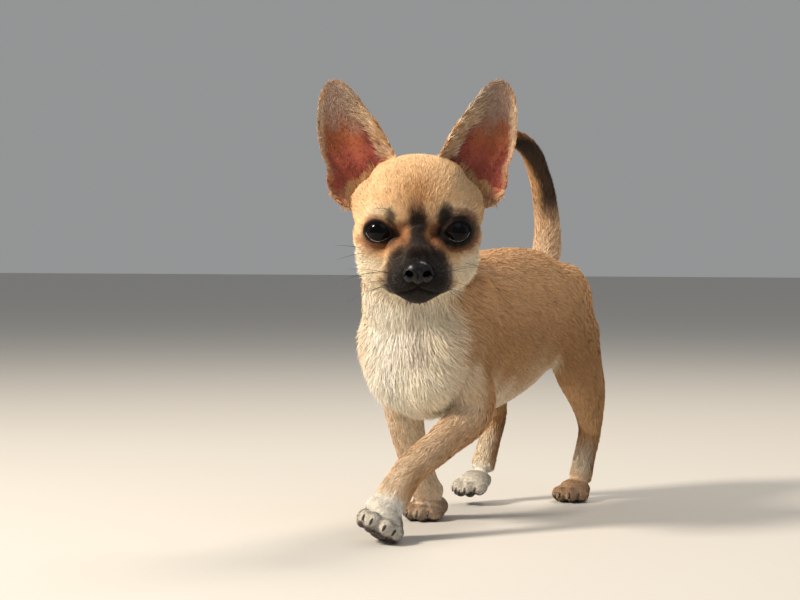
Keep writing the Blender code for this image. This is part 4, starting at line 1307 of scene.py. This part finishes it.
def unwrap(where):
    """Place on an unwrap of the skin: turn about a limb's line and place along it, turn and
    height round the head's and each paw's middle, and out and along on each face of an ear.
    Each part has its own square of a four by four sheet."""
    points, part = where["point"], where["part"]
    u, v = np.zeros(len(points)), np.zeros(len(points))
    for k, limb in enumerate(LIMBS.values()):
        here = part == k
        t = where["places"][k][here]
        off = points[here] - through(limb["line"], t)
        ahead = course(limb["line"], t, 0.02)
        across = unit(np.array((1.0, 0.02, 0.01)) - ahead[:, :1] * ahead)
        u[here] = np.arctan2((off * np.cross(ahead, across)).sum(axis=1), (off * across).sum(axis=1))
        v[here] = t * 2 - 1
    here = within(where, "head")
    ball = unit(where["head"][here] - (0.0, 2.0, 0.0))
    u[here], v[here] = np.arctan2(ball[:, 0], ball[:, 2]), ball[:, 1]
    for name, paw in PAWS.items():
        here = within(where, name)
        ball = unit(in_paw(paw, points[here]))
        u[here], v[here] = np.arctan2(ball[:, 0], -ball[:, 1]), ball[:, 2]
    for side, name in EARS:
        here = within(where, name)
        local = in_ear(points[here], side)
        facing = into_ear(where["normal"][here], side)
        u[here] = (local[:, 1] / 24 + np.where(facing > 0, -1.0, 1.0)) * math.pi / 2
        v[here] = local[:, 0] / 30 - 1
    square = np.stack([u / (2 * math.pi) + 0.5, np.clip(0.5 + 0.5 * v, 0, 1)], axis=1)
    tile = np.stack([part % SHEET_TILES, part // SHEET_TILES], axis=1)
    return (tile + TILE_MARGIN + (1 - 2 * TILE_MARGIN) * square) / SHEET_TILES


def add_colours(mesh, colours):
    """Store linear colours as the point attribute that the materials read."""
    values = np.ones((len(colours), 4), np.float32)
    values[:, :3] = colours
    layer = mesh.color_attributes.new("Markings", "FLOAT_COLOR", "POINT")
    layer.data.foreach_set("color", values.ravel())


def tuft_mesh(name, points, colours, places):
    """Tufts as one mesh: each hair is five points, two at the root, two half way and one at the
    tip, with three faces between them. In OFBake each tuft is a patch at its root's place."""
    corners, hairs = len(HAIR_ACROSS), HAIRS_IN_TUFT
    count = len(points) // corners
    faces = (corners * np.arange(count)[:, None, None] + HAIR_FACES).reshape(-1, 3)
    mesh = bpy.data.meshes.new(name)
    mesh.vertices.add(len(points))
    mesh.vertices.foreach_set("co", (points * MM + SHIFT).astype(np.float32).ravel())
    mesh.loops.add(faces.size)
    mesh.loops.foreach_set("vertex_index", faces.ravel().astype(np.int32))
    mesh.polygons.add(len(faces))
    mesh.polygons.foreach_set("loop_start", (3 * np.arange(len(faces))).astype(np.int32))
    mesh.update(calc_edges=True)
    add_colours(mesh, colours)
    layer = mesh.uv_layers.new(name="OFBake")
    spread = np.tile((np.arange(hairs) - 0.5 * (hairs - 1)) * HAIR_PATCH_STEP, count // hairs)
    across = np.tile(HAIR_ACROSS * HAIR_PATCH_WIDE, count) + np.repeat(spread, corners)
    patch = np.stack([across, np.tile(HAIR_AHEAD * HAIR_PATCH_LONG, count)], axis=1)
    uv = np.repeat(np.repeat(places, hairs, axis=0), corners, axis=0) + patch
    layer.data.foreach_set("uv", uv[faces.ravel()].astype(np.float32).ravel())
    return linked(name, mesh)


def grow_coat(where, faces, lips):
    """Tufts sown over the skin at random by area and density, each a small fan of hairs laid along
    the coat, rising at the root and bending back along the skin, and split into pieces by part."""
    points, normals = where["point"], where["normal"]
    length, width, lift, density, wild = hair_of(where, lips)
    a, b, c = (points[faces[:, k]] for k in range(3))
    area = 0.5 * np.linalg.norm(np.cross(b - a, c - a), axis=1)
    share = area * np.clip(density, 0, None)[faces].mean(axis=1) * COAT_FULLNESS
    total = int(share.sum())
    order = np.cumsum(share) / share.sum()
    spots = np.searchsorted(order, (np.arange(total) + DRAW.random(total)) / total)
    spots = np.minimum(spots, len(faces) - 1)
    weights = DRAW.random((total, 2))
    weights = np.where(weights.sum(axis=1, keepdims=True) > 1, 1 - weights, weights)
    weights = np.concatenate([1 - weights.sum(axis=1, keepdims=True), weights], axis=1)

    def read(values):
        """The value at each root, mixed from its triangle's corners."""
        chosen = values[faces[spots]]
        return (chosen * weights.reshape(weights.shape + (1,) * (chosen.ndim - 2))).sum(axis=1)

    roots, up = read(points), unit(read(normals))
    rooted = places_of(roots, up)
    colours, places = markings(rooted), unwrap(rooted)
    hairs = HAIRS_IN_TUFT
    number = total * hairs
    fan = np.tile((np.arange(hairs) - 0.5 * (hairs - 1)), total)
    per_root = (roots, up, lie_of_coat(rooted), read(length), read(width), read(lift), read(wild))
    roots, up, lie, length, width, lift, wild = (np.repeat(values, hairs, axis=0) for values in per_root)
    across = np.cross(up, lie)
    angle = fan * FAN_ANGLE + DRAW.normal(size=number) * wild * 0.6
    ahead = np.cos(angle)[:, None] * lie + np.sin(angle)[:, None] * across
    aside = np.cross(up, ahead)
    size = length * DRAW.uniform(0.7, 1.15, number)
    slope = lift * DRAW.uniform(0.55, 1.45, number) + 0.12 * wild * DRAW.normal(size=number)
    rise = size * np.tan(np.clip(slope, *HAIR_SLOPE))
    off_root = fan * FAN_STEP + DRAW.normal(size=number) * 0.12
    foot = roots + across * off_root[:, None] - up * ROOT_SUNK
    bend = aside * (DRAW.normal(size=number) * 0.08 * size)[:, None]
    middle = foot + ahead * (0.52 * size)[:, None] + up * (ROOT_SUNK + 0.72 * rise)[:, None] + 0.3 * bend
    tip = foot + ahead * size[:, None] + up * (ROOT_SUNK + rise)[:, None] + bend
    twist = DRAW.uniform(-HAIR_TWIST, HAIR_TWIST, number)[:, None]
    half = 0.5 * width * DRAW.uniform(0.75, 1.2, number)
    half = (aside * np.cos(twist) + up * np.sin(twist)) * half[:, None]
    strands = np.stack([foot - half, foot + half, middle - 0.8 * half, middle + 0.8 * half, tip], axis=1)
    strands[:, :, 2] = np.maximum(strands[:, :, 2], FLOOR_CLEAR)
    tone = DRAW.normal(1.0, 0.13, number).clip(0.65, 1.4)[:, None] * np.array(ROOT_TO_TIP)
    shades = np.clip(np.repeat(colours, hairs, axis=0)[:, None] * tone[..., None], 0.001, 1)
    pale = np.clip(DRAW.normal(0.0, 0.10, number), 0, 0.3)[:, None, None]
    shades = shades + (PAINT["cream"] - shades) * pale * shades.mean(axis=2, keepdims=True) ** 0.5
    strands = strands.reshape(total, -1, 3)
    shades = shades.reshape(total, -1, 3)
    pieces = []
    most = MOST_TRIANGLES // (len(HAIR_FACES) * hairs)
    for name, parts in COAT_PIECES.items():
        members = np.flatnonzero(within(rooted, *parts))
        for start in range(0, len(members), most):
            chosen = members[start:start + most]
            label = f"coat_{name}_{start // most + 1}"
            tufts = strands[chosen].reshape(-1, 3), shades[chosen].reshape(-1, 3), places[chosen]
            pieces.append(tuft_mesh(label, *tufts))
    return pieces


def closed_tube(path, radius, up):
    """A thin ring: circles of one radius carried along a closed path."""
    along = unit(np.roll(path, -1, axis=0) - np.roll(path, 1, axis=0))
    across = unit(np.cross(along, up))
    over = np.cross(across, along)
    angle = np.linspace(0, 2 * math.pi, 8, endpoint=False)
    rings = path[:, None] + radius * (np.cos(angle)[None, :, None] * across[:, None]
                                      + np.sin(angle)[None, :, None] * over[:, None])
    count, around = rings.shape[:2]
    row, k = np.arange(count)[:, None], np.arange(around)
    after, beside = (row + 1) % count * around, (k + 1) % around
    row = row * around
    quads = np.stack([row + k, row + beside, after + beside, after + k], axis=-1)
    return rings.reshape(-1, 3), quads.reshape(-1, 4).tolist()


def opening_edge(side, grow, lift, low=0.0, high=2 * math.pi, count=72):
    """The almond's edge laid on the eye at the given height over the ball."""
    turn = np.linspace(low, high, count, endpoint=high - low < 6.28)
    cos, sin = np.cos(turn), np.sin(turn)
    scale = 1 / almond(cos * OPENING_HALF_WIDE, sin * OPENING_HALF_HIGH)
    across, above = cos * OPENING_HALF_WIDE * scale * grow, sin * OPENING_HALF_HIGH * scale * grow
    outward = np.sqrt(np.maximum(EYE_RADIUS ** 2 - across ** 2 - above ** 2, 1.0))
    local = np.stack([across, above, outward], axis=1) * ((EYE_RADIUS + lift) / EYE_RADIUS)
    return on_head(mirrored(EYE_AT, side)) + local @ eye_axes(side)


def build_eyes():
    """Balls with a slight cornea, their own dark brown deepened to near black round the iris as painted
    shade, a dark brown iris with fine rays, a black pupil, a dark rim to each lid, and a wet line along
    the lower one, painted pale grey as a painted reflection."""
    for side, name in ((1, "left"), (-1, "right")):
        centre, axes = on_head(mirrored(EYE_AT, side)), eye_axes(side)
        points, faces = ellipsoid(centre, (EYE_RADIUS,) * 3, axes, 72, 48)
        local = (points - centre) @ axes.T
        reach = np.hypot(local[:, 0], local[:, 1])
        front = local[:, 2] > 0
        cornea = CORNEA * front * fade(reach, 3.0, IRIS_RADIUS + 0.6)
        points = points + unit(points - centre) * cornea[:, None]
        ball = mesh_object(f"eyeball_{name}", points, faces)
        angle = np.arctan2(local[:, 1], local[:, 0])
        rays = 0.75 + 0.25 * np.sin(angle * IRIS_RAYS + 2 * np.sin(angle * 7)) * ease(reach, 3.4, 5)
        iris = fade(reach, IRIS_RADIUS - 0.1, IRIS_RADIUS + 0.3) * front
        # The ball round the iris: its own dark brown deepened to near black, as painted shade.
        colours = np.tile(PAINT["eyeball"], (len(points), 1))
        colours += (PAINT["iris"] * rays[:, None] - colours) * iris[:, None]
        colours = painted(
            colours,
            ("iris_edge", hump(reach, IRIS_RADIUS, 0.55) * front),
            ("pupil", fade(reach, PUPIL_RADIUS - 0.2, PUPIL_RADIUS + 0.2) * front),
        )
        add_colours(ball.data, colours)
        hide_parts(f"eye_{name}")
        dress(ball, "wet_eye")
        edge = opening_edge(side, 1.0, 0.35)
        rim = mesh_object(f"lid_rim_{name}", *closed_tube(edge, LID_RIM_RADIUS, edge - centre))
        dress(rim, "lid_skin")
        # The tear line: given a pale grey base as a painted reflection.
        low = opening_edge(side, 0.9, 0.3, 1.08 * math.pi, 1.92 * math.pi, 30)
        thin = (TEAR_RADIUS,) * len(low)
        tear = mesh_object(f"tear_line_{name}", *loft(low, thin, thin, HEAD[2], 0.3, 40, 8))
        dress(tear, "tear_film")


def build_nose():
    """The nose pad melted from its body, tip and wings, with comma-shaped nostrils pushed in and the
    philtrum's groove down the middle. Inside the nostrils the black is painted darker still, as painted
    shade."""
    forms = [(NOSE_AT, NOSE_RADII), (NOSE_TIP_AT, NOSE_TIP_RADII)]
    forms += [(mirrored(NOSE_WING_AT, side), NOSE_WING_RADII) for side in (-1, 1)]
    parts = [ellipsoid(on_head(at), radii, HEAD) for at, radii in forms]
    nose = melt(mesh_object("nose_pad", *gathered(parts)), NOSE_VOXEL, NOSE_SMOOTHING)
    points, _ = surface_of(nose)
    right, up, forward = in_head(points).T

    def from_oval(at, half, lean):
        """Distance from an oval on each side, 1 on its edge; its height leans as it goes out."""
        out = np.abs(right) - at[0]
        return np.hypot(out / half[0], (up - at[1] - lean * out) / half[1])

    hole, slit = from_oval(*NOSTRIL), from_oval(*SLIT)
    front = ease(forward, 41, 43.5)
    push = -NOSTRIL_DEEP * fade(hole, 0.55, 1.1) * front
    push -= SLIT_DEEP * fade(slit, 0.4, 1.1) * ease(forward, 39.5, 42)
    push += NOSTRIL_RIM * hump(hole, 1.5, 0.35) * front
    cleft = hump(right, 0, 0.5) * ease(-up, 19.5, 23)
    push -= 0.7 * cleft * front
    set_points(nose, points + push[:, None] * HEAD[2])
    # Painted shade: the insides of the nostrils and slits made darker than the rest of the black.
    deep = np.clip(fade(hole, 0.6, 1.1) + fade(slit, 0.5, 1.1), 0, 1) * front
    add_colours(nose.data, PAINT["nose_black"] * (1 - 0.85 * deep)[:, None])
    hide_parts("nose")
    dress(nose, "nose_leather")


def build_claws():
    """Four curved claws on each paw, rooted in the toes, and the pads under toes and heel."""
    claws, pads = [], []
    for paw in PAWS.values():
        axes, size = paw_axes(paw), paw["size"]
        for across, along, half in TOES:
            root = along - TOE_LENGTH + CLAW_ROOT
            line = [on_paw(paw, (across, root - back, -TOE_DROP + height * half))
                    for back, height in ((0.0, 0.2), (2.6, 0.15), (CLAW_LENGTH, -0.45))]
            claws.append(loft(line, *CLAW_HALVES, axes[0], 0.2, 12, 10))
            spot = on_paw(paw, (across, along - 0.6, -TOE_DROP - 0.62 * half))
            radii = np.array((0.66 * half, 0.5 * TOE_LENGTH, 0.55 * half)) * size
            pads.append(ellipsoid(spot, radii, axes, 20, 12))
        spot = on_paw(paw, np.array(HEEL_PAD_AT) - (0.0, 0.0, 0.2))
        pads.append(ellipsoid(spot, np.array(HEEL_SKIN_RADII) * size, axes, 24, 14))
    for name, parts, stuff, slot in (("claws", claws, "claw_horn", "claw_horn"),
                                     ("paw_pads", pads, "pad_leather", "lip_skin")):
        points, faces = gathered(parts)
        points[:, 2] = np.maximum(points[:, 2], FLOOR_CLEAR)
        dress(mesh_object(name, points, faces), stuff)


def reach_share(line, start):
    """How much of a whisker may stay so that it ends within WHISKER_REACH of the body's box."""
    low, high = (np.array(corner) / MM for corner in CAD_BOX)
    root = start + SHIFT / MM
    room = np.concatenate([high - root, root - low]) + WHISKER_REACH
    spread = np.concatenate([(line - start).max(axis=0), (start - line).max(axis=0)])
    return min(1.0, float((room / np.maximum(spread, 1e-6)).min()))


def build_whiskers(points, normals):
    """Thin tapering hairs from the muzzle, cheeks and brows, each a bowed line that droops by the
    square of its length."""
    strands = []
    local = in_head(points)
    step = np.linspace(0, 1, 7)[:, None]
    taper = np.linspace(*WHISKER_RADII, 7)
    for count, box_low, box_high, long, back in WHISKERS:
        for side in (-1, 1):
            folded = flipped(local, side)
            inside = np.flatnonzero(((folded > box_low) & (folded < box_high)).all(axis=1))
            for spot in DRAW.choice(inside, count):
                out = in_head(points[spot] + normals[spot] * 1.0) - local[spot]
                start = local[spot] - out * 0.6
                aim = (side * 0.8, DRAW.normal() * 0.22 - 0.12, back + DRAW.normal() * 0.15)
                aim = unit(out + np.array(aim))
                size = long * DRAW.uniform(0.7, 1.15)
                droop = np.array((side * 0.05, -0.16, -0.16)) * size
                line = start + aim * size * step + droop * step ** 2
                line = start + (line - start) * reach_share(on_head(line), on_head(start))
                strands.append(loft(on_head(line), taper, taper, HEAD[1], 0.1, 10, 5))
    dress(mesh_object("whiskers", *gathered(strands)), "whisker_hair")


def set_fields(node, settings):
    """Set the node's own fields, or else its sockets of those names."""
    for name, value in settings.items():
        if hasattr(node, name):
            setattr(node, name, value)
        else:
            node.inputs[name.replace("_", " ")].default_value = value


def add_node(tree, kind, links=(), **settings):
    """Add a shader node, with settings for its fields and sockets and links (socket, source)."""
    node = tree.nodes.new(kind)
    set_fields(node, settings)
    for socket, source in links:
        tree.links.new(source, node.inputs[socket])
    return node


def principled(name, **settings):
    """A new material, with its tree and its Principled shader set as given."""
    made = bpy.data.materials.new(name)
    made.use_nodes = True
    shader = made.node_tree.nodes["Principled BSDF"]
    set_fields(shader, settings)
    return made, made.node_tree, shader


def bumped(tree, shader, size_mm, depth_mm, detail=2.0):
    """Fine relief from noise of a real size, on the object's own coordinates."""
    place = add_node(tree, "ShaderNodeTexCoord")
    noise = add_node(tree, "ShaderNodeTexNoise", [("Vector", place.outputs["Object"])],
                     Scale=1 / (size_mm * MM), Detail=detail)
    bump = add_node(tree, "ShaderNodeBump", [("Height", noise.outputs["Fac"])], Strength=1.0,
                    Distance=depth_mm * MM)
    tree.links.new(bump.outputs["Normal"], shader.inputs["Normal"])
    return noise


def coloured(tree, shader):
    """The Markings attribute as base colour."""
    paint = add_node(tree, "ShaderNodeAttribute", attribute_name="Markings")
    tree.links.new(paint.outputs["Color"], shader.inputs["Base Color"])
    return paint


def marked(tree, shader, noise, low, high):
    """The markings as base colour, varied between low and high by the noise."""
    paint = add_node(tree, "ShaderNodeAttribute", attribute_name="Markings")
    vary = add_node(tree, "ShaderNodeMapRange", [("Value", noise.outputs["Fac"])], To_Min=low, To_Max=high)
    scaled = add_node(tree, "ShaderNodeVectorMath", [(0, paint.outputs["Color"])], operation="SCALE")
    tree.links.new(vary.outputs["Result"], scaled.inputs["Scale"])
    tree.links.new(scaled.outputs["Vector"], shader.inputs["Base Color"])


def tinted(tree, shader, noise, dark, light):
    """Base colour from dark to light by the noise."""
    tint = add_node(tree, "ShaderNodeValToRGB", [("Fac", noise.outputs["Fac"])])
    for element, text in zip(tint.color_ramp.elements, (dark, light)):
        element.color = opaque(text)
    tree.links.new(tint.outputs["Color"], shader.inputs["Base Color"])


def build_materials():
    """One material for each real one, with values typical of it."""
    made = {}

    # Skin under short fur: dull, with the felt of fine hair about 0.7 mm apart.
    made["felted_skin"], tree, shader = principled(
        "felted_skin", Roughness=0.85, IOR=1.4, Specular_IOR_Level=0.2)
    marked(tree, shader, bumped(tree, shader, 0.7, 0.25), 0.74, 1.0)

    # Hair: dog hair has an IOR of about 1.55 and a soft, long highlight. Its shade drifts over 2.2 mm.
    made["short_hair"], tree, shader = principled(
        "short_hair", Roughness=0.52, IOR=1.55, Specular_IOR_Level=0.22)
    place = add_node(tree, "ShaderNodeTexCoord")
    noise = add_node(tree, "ShaderNodeTexNoise", [("Vector", place.outputs["Object"])],
                     Scale=1 / (2.2 * MM))
    marked(tree, shader, noise, 0.88, 1.12)

    # Eye: the wet cornea over a dark iris, IOR 1.376, smooth enough for sharp highlights.
    made["wet_eye"], tree, shader = principled(
        "wet_eye", Roughness=0.04, IOR=1.376, Specular_IOR_Level=0.22)
    coloured(tree, shader)

    # Lid edges: bare black skin, kept moist.
    made["lid_skin"], tree, shader = principled("lid_skin", Base_Color=opaque("14100f"), Roughness=0.3)
    bumped(tree, shader, 0.4, 0.04)

    # Tear film: clear water on the lower lid, seen as a thin pale line; its pale grey base colour is a
    # painted reflection, beside the shine of its own smooth surface.
    made["tear_film"], tree, shader = principled(
        "tear_film", Base_Color=opaque("8f8785"), Roughness=0.05, IOR=1.33)
    bumped(tree, shader, 1.5, 0.03)

    # Nose leather: black bare skin in pebbles about 0.8 mm wide, wet enough to shine. Inside the nostrils,
    # where the markings are darkest with painted shade, it loses its shine.
    made["nose_leather"], tree, shader = principled(
        "nose_leather", Roughness=0.34, Coat_Weight=0.06, Coat_Roughness=0.18)
    paint = coloured(tree, shader)
    wet = add_node(tree, "ShaderNodeMath", [(0, paint.outputs["Fac"])],
                   operation="MULTIPLY", use_clamp=True)
    wet.inputs[1].default_value = NOSE_SHINE
    tree.links.new(wet.outputs["Value"], shader.inputs["Specular IOR Level"])
    place = add_node(tree, "ShaderNodeTexCoord")
    cells = add_node(tree, "ShaderNodeTexVoronoi", [("Vector", place.outputs["Object"])],
                     feature="SMOOTH_F1", Scale=1 / (0.8 * MM))
    bump = add_node(tree, "ShaderNodeBump", [("Height", cells.outputs["Distance"])], invert=True,
                    Strength=0.8, Distance=0.14 * MM)
    tree.links.new(bump.outputs["Normal"], shader.inputs["Normal"])

    # Pads: thick rough skin, black-brown, with papillae about 0.6 mm apart.
    made["pad_leather"], tree, shader = principled("pad_leather", Roughness=0.6)
    tinted(tree, shader, bumped(tree, shader, 0.6, 0.2, 4.0), "231b1c", "5a4545")

    # Claws: smooth keratin horn, IOR 1.54, near black with brown streaks.
    made["claw_horn"], tree, shader = principled("claw_horn", Roughness=0.28, IOR=1.54)
    tinted(tree, shader, bumped(tree, shader, 1.2, 0.05), "17120f", "4b3d35")

    # Whiskers: stiff, near-black hair.
    made["whisker_hair"], tree, shader = principled(
        "whisker_hair", Base_Color=opaque("15110f"), Roughness=0.35)
    bumped(tree, shader, 1.0, 0.02)

    # Studio floor: matt painted board, pale and warm, with a trace of roller texture.
    made["painted_board"], tree, shader = principled(
        "painted_board", Base_Color=opaque("c9c7c2"), Roughness=0.8)
    bumped(tree, shader, 3.0, 0.1)
    return made


def dress(piece, stuff):
    """Give a piece its material and smooth shading, and set it on the body."""
    piece.data.shade_smooth()
    piece.data.materials.clear()
    piece.data.materials.append(MATERIALS[stuff])
    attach(piece, "root")


def turned_to(obj, place, towards):
    """Put a lamp or camera at a place, with its own -Z along the given direction."""
    obj.location = Vector(place)
    obj.rotation_euler = Vector(towards).to_track_quat("-Z", "Y").to_euler()


def build_stage():
    """Floor, lights and camera. A soft key stands high at the left of the camera, a faint cool sky
    opposite and a rim light behind, and the room fills the rest."""
    mesh = bpy.data.meshes.new("floor")
    corners = [(FLOOR_REACH * x, FLOOR_REACH * y, 0) for x, y in ((-1, -1), (1, -1), (1, 1), (-1, 1))]
    mesh.from_pydata(corners, [], [(0, 1, 2, 3)])
    mesh.materials.append(MATERIALS["painted_board"])
    linked("floor", mesh)
    world = bpy.data.worlds.new("room")
    world.use_nodes = True
    room = {"Color": opaque(ROOM_COLOUR), "Strength": ROOM_STRENGTH}
    set_fields(world.node_tree.nodes["Background"], room)
    bpy.context.scene.world = world
    bpy.context.scene.view_settings.view_transform = "Standard"
    for name, spot, size, power, colour in LIGHTS:
        lamp = bpy.data.lights.new(name, "AREA")
        lamp.shape = "DISK"
        lamp.size = size
        lamp.energy = power
        lamp.color = srgb(colour)
        turned_to(linked(name, lamp), spot, Vector(np.array(LIGHTS_AIM) * MM) - Vector(spot))
    azimuth, rise = math.radians(CAMERA_AZIMUTH), math.radians(CAMERA_ELEVATION)
    level = math.cos(rise)
    back = np.array((math.sin(azimuth) * level, -math.cos(azimuth) * level, math.sin(rise)))
    camera = linked("camera", bpy.data.cameras.new("camera"))
    camera.data.sensor_width = SENSOR_WIDTH
    camera.data.lens = SENSOR_WIDTH * FOCAL_PIXELS / PHOTO_WIDTH
    camera.data.clip_start = 0.01
    camera.data.clip_end = 100.0
    turned_to(camera, (np.array(CAMERA_TARGET) + back * CAMERA_REACH) * MM + SHIFT, -back)
    bpy.context.scene.camera = camera


# The source's frame is moved into the row's by the middle of the left eye.
EYE_LOW, EYE_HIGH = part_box("eye_left")
SHIFT = 0.5 * (np.array(EYE_LOW) + np.array(EYE_HIGH)) - on_head(EYE_AT) * MM
MATERIALS = build_materials()

skin, skin_points, skin_faces, lip_reach = build_skin()
skin_normals = normals_of(skin_points, skin_faces)
skin_places = places_of(skin_points, skin_normals)
add_colours(skin.data, markings(skin_places))
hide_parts(*FLESH_NODES)
dress(skin, "felted_skin")
for piece in grow_coat(skin_places, skin_faces, lip_reach):
    dress(piece, "short_hair")
build_eyes()
build_nose()
build_claws()
build_whiskers(skin_points, skin_normals)
build_stage()
